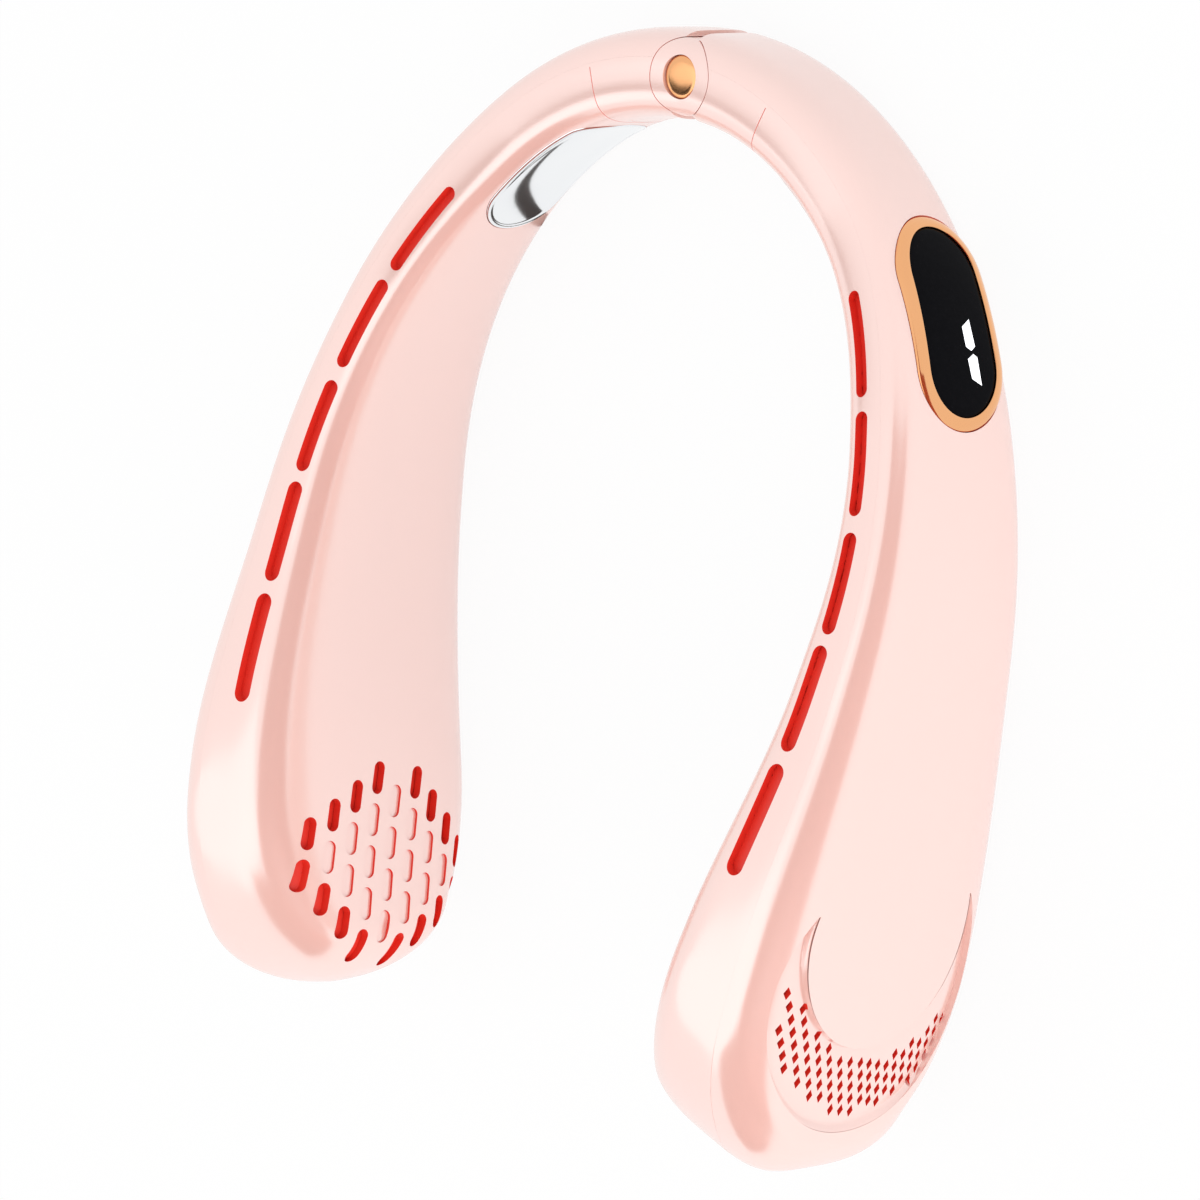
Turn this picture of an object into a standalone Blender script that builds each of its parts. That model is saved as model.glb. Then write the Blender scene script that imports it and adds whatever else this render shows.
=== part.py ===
"""Wearable neck fan: two hollow arms on a folding hinge, a centrifugal blower in each pod.

Frame: X across (right arm at +X), Y from the pods to the hinge, Z up. The fan lies on its
back edges with the air slots on top. The origin is under the middle of the whole fan.
Each arm is a loft along a plan curve. A place on an arm is given by three sizes:
along (distance from the hinge), across (from the middle to the outer side) and rise
(from the middle to the slot side). The left arm mirrors the right one.
"""
import math

import bmesh
import bpy
from mathutils import Matrix, Vector

# Plan curve of an arm
ARCH_HALF_WIDTH = 0.0683
ARCH_DEPTH = 0.0861
LEG_LENGTH = 0.0971
TOE_IN = math.radians(16.0)

# Arm section
HINGE_HEIGHT = 0.0217
POD_HEIGHT = 0.0608
NECK_THICKNESS = 0.0158
POD_THICKNESS = 0.0355
TIP_ROUND = 0.0397
TIP_EDGE_ROUND = 0.0118
BASE_FLAT = 0.0006
WALL = 0.0016
CORNER_POWER = 3.6
STATION_SHARES = (0.0, 0.2, 0.4, 0.6, 0.8, 1.0)
HEIGHT_SHARES = (0.0, 0.04, 0.276, 0.583, 0.903, 1.0)
THICKNESS_SHARES = (0.03, 0.0, 0.0, 0.2, 0.66, 1.0)
LEAN_DEGREES = (0.0, -2.0, 1.0, 1.1, 1.9, 3.0)

# Shell seam and fits
SEAM_SHARE = 0.35
SEAM_GAP = 0.0003
FIT = 0.0003
OVERRUN = 0.004
GRID_MARGIN = 0.0015
PROUD_CUT = 0.002

# Hinge
KNUCKLE_RADIUS = 0.0070
KNUCKLE_GAP = 0.00035
HORN_OUTER = 0.0014
HORN_INNER = 0.0032
TANG_END = 0.0165
TANG_OVERLAP = 0.0009
TANG_FIT = 0.0004
PIN_RADIUS = 0.0020
PIN_CAP_RADIUS = 0.0039
PIN_CAP_DEPTH = 0.0016
PIN_CAP_SINK = 0.0002
PIN_NUT_RADIUS = 0.0034
PIN_NUT_DEPTH = 0.0022
PIN_NUT_LIFT = 0.0010
WASHER_RADIUS = 0.0052
WASHER_THICKNESS = 0.0008
COVER_START = 0.0052
COVER_END = 0.0207
COVER_HALF_HEIGHT = 0.0070
COVER_THICKNESS = 0.0013

# Air slots along the top of each arm
SLOT_COUNT = 5
SLOT_START = 0.0600
SLOT_LENGTH = 0.0187
SLOT_PITCH = 0.0211
SLOT_WIDTH_UPPER = 0.0027
SLOT_WIDTH_LOWER = 0.0037
SLOT_LIP = 0.0008
SLOT_LIP_SINK = 0.0004
SLOT_OFFSET_SHARE = -0.22
SLOT_RUN_SHARES = (0.0, 0.08, 0.5, 0.92, 1.0)
SLOT_BREADTH_SHARES = (0.5, 1.0, 1.0, 1.0, 0.5)

# Air duct under the slots
DUCT_START = 0.0570
DUCT_WALL = 0.0010
DUCT_TOP_WALL = 0.0020
DUCT_OUTER_SHARE = 0.13
DUCT_MOUTH_SHARE = 0.33
DUCT_MOUTH_DRAW = 0.0009

# Blower in the pod
BLOWER_FROM_TIP = 0.0315
SCROLL_WALL = 0.0012
SCROLL_GROWTH = 0.0034
SCROLL_REACH_SHARE = 0.84
SCROLL_DEPTH_SHARE = 0.47
SCROLL_TONGUE = math.radians(130.0)
SCROLL_CHUTE = 0.0215
INLET_SHARE = 0.76
IMPELLER_GAP = 0.0013
IMPELLER_SIDE_GAP = 0.0009
IMPELLER_PLATE = 0.0010
IMPELLER_RING = 0.0012
BLADE_COUNT = 13
BLADE_THICKNESS = 0.0007
BLADE_INNER_SHARE = 0.72
BLADE_SWEEP = math.radians(28.0)
HUB_RADIUS = 0.0072
HUB_WALL = 0.0009
STATOR_GAP = 0.0004
SHAFT_RADIUS = 0.0009
MOTOR_BASE_RADIUS = 0.0086
MOUNT_ARM_WIDTH = 0.0040
SCREW_HEAD_RADIUS = 0.0017
SCREW_HEAD_HEIGHT = 0.0009
SCREW_SHANK_RADIUS = 0.0008
SCREW_LENGTH = 0.0030
EAR_RADIUS = 0.0026
EAR_DEGREES = (190.0, 275.0)

# Intake grille on the inner face of the pod
INTAKE_FROM_TIP = 0.0230
INTAKE_COLUMN_COUNTS = (2, 3, 4, 5, 4, 5, 4, 3, 2)
INTAKE_COLUMN_PITCH = 0.0053
INTAKE_ROW_PITCH = 0.0081
INTAKE_HOLE_LENGTH = 0.0058
INTAKE_HOLE_WIDTH = 0.0028
INTAKE_TURN = math.radians(12.0)

# Crescent grille and tongue cover on the outer face of the pod
TONGUE_FROM_TIP = 0.0490
TONGUE_RADIUS = 0.0203
RECESS_FROM_TIP = 0.0378
RECESS_RADIUS = 0.0243
GRILLE_SINK = 0.0016
GRILLE_THICKNESS = 0.0010
DIAMOND_COLUMN_PITCH = 0.0033
DIAMOND_ROW_PITCH = 0.0036
DIAMOND_HALF_LENGTH = 0.0013
DIAMOND_HALF_WIDTH = 0.0009
DIAMOND_EDGE = 0.0012

# Cooling plate, tile and heat sink
PLATE_START = 0.0236
PLATE_END = 0.0648
PLATE_HALF_SHARE = 0.75
PLATE_THICKNESS = 0.0013
TILE_LENGTH = 0.0140
TILE_HEIGHT = 0.0110
TILE_THICKNESS = 0.0022
SINK_LENGTH = 0.0190
SINK_HEIGHT = 0.0120
SINK_BASE = 0.0011
SINK_FIN_HEIGHT = 0.0028
SINK_FIN_COUNT = 8

# Battery and boards
BATTERY_START = 0.1120
BATTERY_LENGTH = 0.0440
BATTERY_CLEARANCE = 0.0005
BATTERY_LIFT = 0.0016
BATTERY_NUB_RADIUS = 0.0030
BATTERY_NUB_HEIGHT = 0.0010
BOARD_THICKNESS = 0.0010
CONTROL_BOARD_ALONG = 0.0860
CONTROL_BOARD_LENGTH = 0.0330
CONTROL_BOARD_HEIGHT = 0.0090
CONTROL_BOARD_LIFT = 0.0020
CHIP_SIZE = 0.0060
CHIP_HEIGHT = 0.0011

# Display on the right arm
DISPLAY_ALONG = 0.0695
DISPLAY_LENGTH = 0.0352
DISPLAY_HEIGHT = 0.0202
DISPLAY_TURN = math.radians(-9.0)
BEZEL_WIDTH = 0.0013
BEZEL_PROUD = 0.0003
BEZEL_DEPTH = 0.0015
GLASS_SINK = 0.0001
DISPLAY_BOARD_LENGTH = 0.0240
DISPLAY_BOARD_HEIGHT = 0.0110
DISPLAY_BOARD_SINK = 0.0032

# Buttons on the left arm
BUTTON_ROW_ALONG = 0.0700
BUTTON_LENGTH = 0.0090
BUTTON_SPACE = 0.0050
BUTTON_HEIGHT = 0.0056
BUTTON_PROUD = 0.0005
BUTTON_TRAVEL = 0.0005
BUTTON_GAP = 0.0003
FLANGE_MARGIN = 0.0008
FLANGE_THICKNESS = 0.0007
SWITCH_RADIUS = 0.0017
SWITCH_HEIGHT = 0.0009
BUTTON_BOARD_MARGIN = 0.0038
BUTTON_BOARD_HEIGHT = 0.0080

# Charging socket in the tip of the right pod
SOCKET_WIDTH = 0.0092
SOCKET_HEIGHT = 0.0034
SOCKET_LENGTH = 0.0068
SOCKET_WALL = 0.0003
SOCKET_TONGUE_THICKNESS = 0.0007
SOCKET_TONGUE_WIDTH = 0.0066
SOCKET_SLOPE = math.radians(-18.0)
SOCKET_SINK = 0.0008

# Facets
ARM_STEPS = 13
TIP_DEGREES = (0.0, 20.0, 38.0, 54.0, 68.0, 80.0)
HALF_RING_STEPS = 8
ROUND_STEPS = 20
KNUCKLE_STEPS = 24
SMALL_ROUND_STEPS = 12
SCROLL_SIDES = 14
GRILLE_STEPS = 12
CAPSULE_END_STEPS = 2
SCREW_STEPS = 8
BLADE_STEPS = 2

PINK = (0.93, 0.62, 0.57)
RED = (0.60, 0.02, 0.01)
ROSE_GOLD = (0.80, 0.48, 0.32)
CHROME = (0.80, 0.81, 0.82)
STEEL = (0.55, 0.56, 0.58)
BLACK = (0.01, 0.01, 0.012)
WHITE = (0.85, 0.85, 0.83)
GREEN = (0.02, 0.20, 0.08)
BLUE = (0.05, 0.15, 0.45)
COPPER = (0.70, 0.32, 0.15)


def clear_scene():
    for old in list(bpy.data.objects):
        bpy.data.objects.remove(old, do_unlink=True)


def finish_material(name, colour, roughness, metallic):
    material = bpy.data.materials.new(name)
    material.use_nodes = True
    shader = material.node_tree.nodes["Principled BSDF"]
    shader.inputs["Base Color"].default_value = (*colour, 1.0)
    shader.inputs["Roughness"].default_value = roughness
    shader.inputs["Metallic"].default_value = metallic
    return material


FINISHES = {
    "pink_plastic": (PINK, 0.28, 0.0),
    "red_plastic": (RED, 0.40, 0.0),
    "rose_gold": (ROSE_GOLD, 0.14, 1.0),
    "chrome": (CHROME, 0.08, 1.0),
    "steel": (STEEL, 0.30, 1.0),
    "black_glass": (BLACK, 0.05, 0.0),
    "white_ceramic": (WHITE, 0.50, 0.0),
    "circuit_board": (GREEN, 0.45, 0.0),
    "battery_wrap": (BLUE, 0.35, 0.0),
    "copper_winding": (COPPER, 0.35, 1.0),
}


def smooth_table(places, values, place):
    """Monotone cubic through the table, flat past its ends."""
    if place <= places[0]:
        return values[0]
    if place >= places[-1]:
        return values[-1]
    steps = [b - a for a, b in zip(places, places[1:])]
    rises = [(b - a) / step for a, b, step in zip(values, values[1:], steps)]
    slopes = [rises[0]]
    for before, after in zip(rises, rises[1:]):
        slopes.append(0.0 if before * after <= 0.0 else 2.0 * before * after / (before + after))
    slopes.append(rises[-1])
    index = max(i for i in range(len(steps)) if place >= places[i])
    step = steps[index]
    t = (place - places[index]) / step
    start, end = values[index], values[index + 1]
    return (start * (1.0 + 2.0 * t) * (1.0 - t) ** 2 + end * t * t * (3.0 - 2.0 * t)
            + step * slopes[index] * t * (1.0 - t) ** 2 - step * slopes[index + 1] * t * t * (1.0 - t))


def arch_table(count=400):
    """Angles of the arch ellipse with the distance along it."""
    rows = [(0.0, 0.0)]
    previous = Vector((0.0, 0.0))
    distance = 0.0
    for index in range(1, count + 1):
        angle = 0.5 * math.pi * index / count
        point = Vector((ARCH_HALF_WIDTH * math.sin(angle), ARCH_DEPTH * math.cos(angle) - ARCH_DEPTH))
        distance += (point - previous).length
        rows.append((distance, angle))
        previous = point
    return rows


ARCH_ROWS = arch_table()
ARCH_LENGTH = ARCH_ROWS[-1][0]
ARM_LENGTH = ARCH_LENGTH + LEG_LENGTH


def arch_angle(along):
    step = next(i for i in range(1, len(ARCH_ROWS)) if ARCH_ROWS[i][0] >= along or i == len(ARCH_ROWS) - 1)
    (low, low_angle), (high, high_angle) = ARCH_ROWS[step - 1], ARCH_ROWS[step]
    return low_angle + (high_angle - low_angle) * (along - low) / (high - low)


def plan_place(along):
    """Plan point and unit tangent, measured from the hinge axis."""
    if along <= ARCH_LENGTH:
        angle = arch_angle(max(along, 0.0))
        point = Vector((ARCH_HALF_WIDTH * math.sin(angle), ARCH_DEPTH * math.cos(angle) - ARCH_DEPTH, 0.0))
        tangent = Vector((ARCH_HALF_WIDTH * math.cos(angle), -ARCH_DEPTH * math.sin(angle), 0.0))
        return point, tangent.normalized()
    turn = TOE_IN * (along - ARCH_LENGTH) / LEG_LENGTH
    radius = LEG_LENGTH / TOE_IN
    point = Vector((ARCH_HALF_WIDTH - radius * (1.0 - math.cos(turn)), -ARCH_DEPTH - radius * math.sin(turn), 0.0))
    return point, Vector((-math.sin(turn), -math.cos(turn), 0.0))


def section_height(along):
    share = smooth_table(STATION_SHARES, HEIGHT_SHARES, along / ARM_LENGTH)
    return HINGE_HEIGHT + (POD_HEIGHT - HINGE_HEIGHT) * share


def section_thickness(along):
    share = smooth_table(STATION_SHARES, THICKNESS_SHARES, along / ARM_LENGTH)
    return NECK_THICKNESS + (POD_THICKNESS - NECK_THICKNESS) * share


def section_lean(along):
    return math.radians(smooth_table(STATION_SHARES, LEAN_DEGREES, along / ARM_LENGTH))


def middle_height(along):
    """Height of the section's middle, with its lowest point BASE_FLAT under the ground."""
    lean = section_lean(along)
    power = CORNER_POWER / (CORNER_POWER - 1.0)
    wide = abs(0.5 * section_thickness(along) * math.sin(lean)) ** power
    tall = abs(0.5 * section_height(along) * math.cos(lean)) ** power
    return (wide + tall) ** (1.0 / power) - BASE_FLAT


def grid(start, end):
    """Stations between two distances that all lofted pieces share, so that their facets line up."""
    step = (ARM_LENGTH - TIP_ROUND) / ARM_STEPS
    between = [step * i for i in range(1, ARM_STEPS) if start + GRID_MARGIN < step * i < end - GRID_MARGIN]
    return [start] + between + [end]


def chord_gap():
    """How far a facet of the bent wall falls inside the true curve."""
    step = (ARM_LENGTH - TIP_ROUND) / ARM_STEPS
    return step * step / (8.0 * ARCH_HALF_WIDTH)


def tip_factor(along, end, radius):
    """Share of the full size that is left inside the round tip."""
    into = along - (end - radius)
    if into <= 0.0:
        return 1.0
    return math.sqrt(max(0.0, 1.0 - (into / radius) ** 2))


def tip_extreme(count=40):
    """Lowest plan Y of the round tip, measured from the hinge axis."""
    lowest = 0.0
    for i in range(count):
        along = ARM_LENGTH - TIP_EDGE_ROUND * i / count
        point, tangent = plan_place(along)
        half = 0.5 * section_thickness(along) * tip_factor(along, ARM_LENGTH, TIP_EDGE_ROUND)
        lowest = min(lowest, point.y - half * abs(tangent.x))
    return lowest


HINGE_Y = 0.5 * (-tip_extreme() - 0.5 * section_thickness(0.0))


def station(along):
    """Origin and the three axes (along, across, rise) of the right arm's section."""
    point, tangent = plan_place(along)
    out = Vector((-tangent.y, tangent.x, 0.0))
    up = Vector((0.0, 0.0, 1.0))
    lean = section_lean(along)
    rise = up * math.cos(lean) - out * math.sin(lean)
    across = out * math.cos(lean) + up * math.sin(lean)
    origin = Vector((point.x, point.y + HINGE_Y, middle_height(along)))
    return origin, tangent, across, rise


def arm_point(along, across, rise):
    origin, _, across_axis, rise_axis = station(along)
    return origin + across_axis * across + rise_axis * rise


def half_sizes(along, inset):
    """Half thickness and half height of the section, drawn in by inset."""
    end = ARM_LENGTH - inset
    wide = (0.5 * section_thickness(along) - inset) * tip_factor(along, end, TIP_EDGE_ROUND - inset)
    tall = (0.5 * section_height(along) - inset) * tip_factor(along, end, TIP_ROUND - inset)
    return wide, tall


def power_wave(value):
    return math.copysign(abs(value) ** (2.0 / CORNER_POWER), value)


def side_across(along, rise, inset):
    """Distance across from the middle to the section's face at a rise."""
    wide, tall = half_sizes(along, inset)
    share = min(abs(rise) / max(tall, FIT), 1.0)
    return wide * (1.0 - share ** CORNER_POWER) ** (1.0 / CORNER_POWER)


def top_rise(along, across, inset):
    """Rise of the section's upper face at a distance across."""
    wide, tall = half_sizes(along, inset)
    share = min(abs(across) / max(wide, FIT), 1.0)
    return tall * (1.0 - share ** CORNER_POWER) ** (1.0 / CORNER_POWER)


def add_mesh(name, vertices, faces, finish, mirrored=False, smooth=False):
    """A mesh object in world space; the left arm's copy is mirrored across X."""
    if mirrored:
        vertices = [Vector((-v[0], v[1], v[2])) for v in vertices]
        faces = [tuple(reversed(face)) for face in faces]
    mesh = bpy.data.meshes.new(name)
    mesh.from_pydata([tuple(v) for v in vertices], [], faces)
    mesh.update()
    item = bpy.data.objects.new(name, mesh)
    bpy.context.scene.collection.objects.link(item)
    if finish is None:
        item.hide_render = True
        item.display_type = "WIRE"
    else:
        item.data.materials.append(finish_material(name, *FINISHES[finish]))
    if smooth:
        mesh.shade_smooth()
        mesh.set_sharp_from_angle(angle=math.radians(35.0))
    return item


def face_outwards(item):
    shape = bmesh.new()
    shape.from_mesh(item.data)
    bmesh.ops.recalc_face_normals(shape, faces=shape.faces)
    shape.to_mesh(item.data)
    shape.free()


def combine(item, tool, operation):
    step = item.modifiers.new(operation.lower(), "BOOLEAN")
    step.operation = operation
    step.object = tool
    step.solver = "EXACT"


def cut(item, tool):
    combine(item, tool, "DIFFERENCE")


def move_origin(item, origin):
    item.data.transform(Matrix.Translation(-origin))
    item.location = origin


def loft_solid(name, rings, finish, mirrored=False, smooth=False):
    """A closed solid through rings of equal length, with flat ends."""
    count = len(rings[0])
    vertices = [point for ring in rings for point in ring]
    faces = [tuple(reversed(range(count)))]
    for row in range(len(rings) - 1):
        for step in range(count):
            a, b = row * count + step, row * count + (step + 1) % count
            faces.append((a, b, b + count, a + count))
    faces.append(tuple(range((len(rings) - 1) * count, len(rings) * count)))
    item = add_mesh(name, vertices, faces, finish, mirrored, smooth)
    face_outwards(item)
    return item


def prism_parts(outlines, low, high):
    """Vertices and faces of separate prisms; low and high map an outline point to a place."""
    vertices, faces = [], []
    for outline in outlines:
        start, count = len(vertices), len(outline)
        vertices += [low(p) for p in outline] + [high(p) for p in outline]
        faces.append(tuple(start + i for i in reversed(range(count))))
        faces.append(tuple(start + count + i for i in range(count)))
        for i in range(count):
            j = (i + 1) % count
            faces.append((start + i, start + j, start + count + j, start + count + i))
    return vertices, faces


def local_prism(name, frame, outline, low, high, finish, mirrored=False, smooth=False):
    """An outline in (along, rise) of a straight frame, extruded across from low to high."""
    origin, along_axis, across_axis, rise_axis = frame

    def place(point, across):
        return origin + along_axis * point[0] + rise_axis * point[1] + across_axis * across

    vertices, faces = prism_parts([outline], lambda p: place(p, low), lambda p: place(p, high))
    item = add_mesh(name, vertices, faces, finish, mirrored, smooth)
    face_outwards(item)
    return item


def box_outline(length, height, centre=(0.0, 0.0)):
    x, y = centre
    return [(x - 0.5 * length, y - 0.5 * height), (x + 0.5 * length, y - 0.5 * height),
            (x + 0.5 * length, y + 0.5 * height), (x - 0.5 * length, y + 0.5 * height)]


def circle_outline(radius, steps, centre=(0.0, 0.0)):
    return [(centre[0] + radius * math.cos(2.0 * math.pi * i / steps),
             centre[1] + radius * math.sin(2.0 * math.pi * i / steps)) for i in range(steps)]


def capsule_outline(length, width, turn=0.0, centre=(0.0, 0.0), end_steps=4):
    """A slot outline with round ends, its long side along the first axis before the turn."""
    radius = 0.5 * width
    reach = 0.5 * length - radius
    points = []
    for side in (1.0, -1.0):
        for i in range(end_steps + 1):
            angle = -0.5 * math.pi + math.pi * i / end_steps
            points.append((side * (reach + radius * math.cos(angle)), side * radius * math.sin(angle)))
    cosine, sine = math.cos(turn), math.sin(turn)
    return [(centre[0] + x * cosine - y * sine, centre[1] + x * sine + y * cosine) for x, y in points]


def turned_solid(name, origin, axis, profile, finish, steps, mirrored=False):
    """A profile of (radius, height) pairs turned round an axis; radius 0 closes an end."""
    side = axis.orthogonal().normalized()
    other = axis.cross(side)
    vertices, faces, rows = [], [], []
    for radius, height in profile:
        if radius == 0.0:
            rows.append([len(vertices)] * steps)
            vertices.append(origin + axis * height)
            continue
        rows.append([len(vertices) + i for i in range(steps)])
        for i in range(steps):
            angle = 2.0 * math.pi * i / steps
            vertices.append(origin + axis * height + (side * math.cos(angle) + other * math.sin(angle)) * radius)
    closed = profile[0][0] > 0.0 and profile[-1][0] > 0.0
    pairs = list(zip(rows, rows[1:])) + ([(rows[-1], rows[0])] if closed else [])
    for low, high in pairs:
        for i in range(steps):
            j = (i + 1) % steps
            corners = [low[i], low[j], high[j], high[i]]
            kept = [c for k, c in enumerate(corners) if c not in corners[:k]]
            if len(kept) > 2:
                faces.append(tuple(kept))
    item = add_mesh(name, vertices, faces, finish, mirrored, smooth=finish is not None)
    face_outwards(item)
    return item


# Arm shells

def seam_angle(along, inset, offset):
    wide = max(half_sizes(along, inset)[0], FIT)
    share = (SEAM_SHARE * 0.5 * section_thickness(along) * tip_factor(along, ARM_LENGTH, TIP_EDGE_ROUND)
             + offset) / wide
    return math.acos(min(max(share, 0.0), 1.0) ** (0.5 * CORNER_POWER))


def ring_angles(edge, inner_side):
    """Angles of a half section's corners, from the upper seam to the lower one."""
    first, last = (edge, 2.0 * math.pi - edge) if inner_side else (edge, -edge)
    return [first + (last - first) * i / HALF_RING_STEPS for i in range(HALF_RING_STEPS + 1)]


def shell_ring(along, inset, inner_side, flat):
    """Half a section from the upper seam to the lower one, on the inner or outer side."""
    offset = -0.5 * SEAM_GAP if inner_side else 0.5 * SEAM_GAP
    wide, tall = half_sizes(along, inset)
    ring = []
    for angle in ring_angles(seam_angle(along, inset, offset), inner_side):
        point = arm_point(along, wide * power_wave(math.cos(angle)), tall * power_wave(math.sin(angle)))
        if flat:
            point.z = max(point.z, 0.0)
        ring.append(point)
    return ring


def half_shell(name, start, inner_side, mirrored):
    """A walled half of the arm, open to the other half and at the hinge, closed at the tip."""
    straight_end = ARM_LENGTH - TIP_ROUND
    outer_rings, inner_rings = [], []
    for along in grid(start, straight_end)[:-1]:
        outer_rings.append(shell_ring(along, 0.0, inner_side, True))
        inner_rings.append(shell_ring(along, WALL, inner_side, False))
    for degrees in TIP_DEGREES:
        sine = math.sin(math.radians(degrees))
        outer_rings.append(shell_ring(straight_end + TIP_ROUND * sine, 0.0, inner_side, True))
        inner_rings.append(shell_ring(straight_end + (TIP_ROUND - WALL) * sine, WALL, inner_side, False))
    shift = -0.5 * SEAM_GAP if inner_side else 0.5 * SEAM_GAP
    outer_pole = arm_point(ARM_LENGTH, shift, 0.0)
    inner_pole = arm_point(ARM_LENGTH - WALL, shift, 0.0)
    width, rows = HALF_RING_STEPS + 1, len(outer_rings)
    vertices = [p for ring in outer_rings for p in ring] + [outer_pole]
    shift_index = len(vertices)
    vertices += [p for ring in inner_rings for p in ring] + [inner_pole]

    def outer(row, step):
        return row * width + step if row < rows else rows * width

    def inner(row, step):
        return shift_index + outer(row, step)

    def add(*corners):
        kept = [c for k, c in enumerate(corners) if c not in corners[:k]]
        faces.append(tuple(kept))

    faces = []
    for row in range(rows):
        for step in range(width - 1):
            add(outer(row, step), outer(row, step + 1), outer(row + 1, step + 1), outer(row + 1, step))
            add(inner(row, step), inner(row + 1, step), inner(row + 1, step + 1), inner(row, step + 1))
        add(outer(row, 0), outer(row + 1, 0), inner(row + 1, 0), inner(row, 0))
        add(outer(row, width - 1), inner(row, width - 1), inner(row + 1, width - 1), outer(row + 1, width - 1))
    for step in range(width - 1):
        add(outer(0, step + 1), outer(0, step), inner(0, step), inner(0, step + 1))
    item = add_mesh(name, vertices, faces, "pink_plastic", mirrored, smooth=True)
    face_outwards(item)
    return item


def face_patch(name, outline_rows, side, low, high, finish, mirrored, smooth=True):
    """A plate that follows a side face. Rows give (along, rise list); low and high are depths."""
    sign = 1.0 if side == "outer" else -1.0

    def place(along, rise, depth):
        return arm_point(along, sign * (side_across(along, rise, 0.0) - depth), rise)

    rows, width = len(outline_rows), len(outline_rows[0][1])
    vertices = [place(a, r, low) for a, rises in outline_rows for r in rises]
    vertices += [place(a, r, high) for a, rises in outline_rows for r in rises]
    base = rows * width
    faces = []
    for row in range(rows - 1):
        for step in range(width - 1):
            a = row * width + step
            faces.append((a, a + 1, a + width + 1, a + width))
            faces.append((base + a, base + a + width, base + a + width + 1, base + a + 1))
    rim = [step for step in range(width)]
    rim += [row * width + width - 1 for row in range(1, rows)]
    rim += [(rows - 1) * width + step for step in reversed(range(width - 1))]
    rim += [row * width for row in reversed(range(1, rows - 1))]
    for here, there in zip(rim, rim[1:] + rim[:1]):
        faces.append((there, here, base + here, base + there))
    item = add_mesh(name, vertices, faces, finish, mirrored, smooth)
    face_outwards(item)
    return item


END_DEGREES = (14.0, 38.0, 64.0, 90.0)


def capsule_rows(start, end, half_height, margin=0.0, round_start=True, steps=5, width=5):
    """Rows for face_patch: a run with round ends, widened all round by margin."""
    half = half_height + margin
    first, last = start - margin, end + margin
    stations = []
    if round_start:
        stations += [(first + half * (1.0 - math.cos(math.radians(d))), math.sin(math.radians(d)))
                     for d in END_DEGREES]
    else:
        stations.append((first, 1.0))
    begin = first + (half if round_start else 0.0)
    for i in range(1, steps):
        stations.append((begin + (last - half - begin) * i / steps, 1.0))
    stations += [(last - half * (1.0 - math.cos(math.radians(d))), math.sin(math.radians(d)))
                 for d in reversed(END_DEGREES)]
    return [(along, [half * share * (2.0 * k / (width - 1) - 1.0) for k in range(width)])
            for along, share in stations]


def mapped_prisms(name, outlines, centre_along, centre_rise, side, low, high, finish, mirrored):
    """Straight prisms through a side face, each at the depth of the face at its own middle."""
    sign = 1.0 if side == "outer" else -1.0
    vertices, faces = [], []
    for outline in outlines:
        middle = (sum(p[0] for p in outline) / len(outline), sum(p[1] for p in outline) / len(outline))
        face = side_across(centre_along + middle[0], centre_rise + middle[1], 0.0)

        def place(point, depth, reach=face):
            return arm_point(centre_along + point[0], sign * (reach - depth), centre_rise + point[1])

        more, sides = prism_parts([outline], lambda p: place(p, low), lambda p: place(p, high))
        start = len(vertices)
        vertices += more
        faces += [tuple(start + i for i in corners) for corners in sides]
    item = add_mesh(name, vertices, faces, finish, mirrored)
    face_outwards(item)
    return item


# Air slots and duct

def slot_span(index):
    start = SLOT_START + SLOT_PITCH * index
    return start, start + SLOT_LENGTH


def slot_width(index):
    return SLOT_WIDTH_UPPER + (SLOT_WIDTH_LOWER - SLOT_WIDTH_UPPER) * index / (SLOT_COUNT - 1)


def slot_run(name, index, margin, low, high, finish, mirrored):
    """A bar along a slot: low and high are measured from the arm's upper face."""
    start, end = slot_span(index)
    start, end = start - margin, end + margin
    rings = []
    for run, breadth in zip(SLOT_RUN_SHARES, SLOT_BREADTH_SHARES):
        along = start + (end - start) * run
        centre = SLOT_OFFSET_SHARE * 0.5 * section_thickness(along)
        half = (0.5 * slot_width(index) + margin) * breadth
        face = top_rise(along, centre, 0.0)
        rings.append([arm_point(along, centre - half, face + low), arm_point(along, centre + half, face + low),
                      arm_point(along, centre + half, face + high), arm_point(along, centre - half, face + high)])
    return loft_solid(name, rings, finish, mirrored)


def duct_end():
    return blower_along() - SCROLL_CHUTE - FIT


def to_mouth(ring):
    """The ring moved along the arm onto the plane of the blower's mouth."""
    origin, along_axis, _, _ = pod_frame()
    _, tangent, _, _ = station(duct_end())
    reach = -SCROLL_CHUTE - FIT
    return [p + tangent * ((reach - (p - origin).dot(along_axis)) / tangent.dot(along_axis)) for p in ring]


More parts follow.
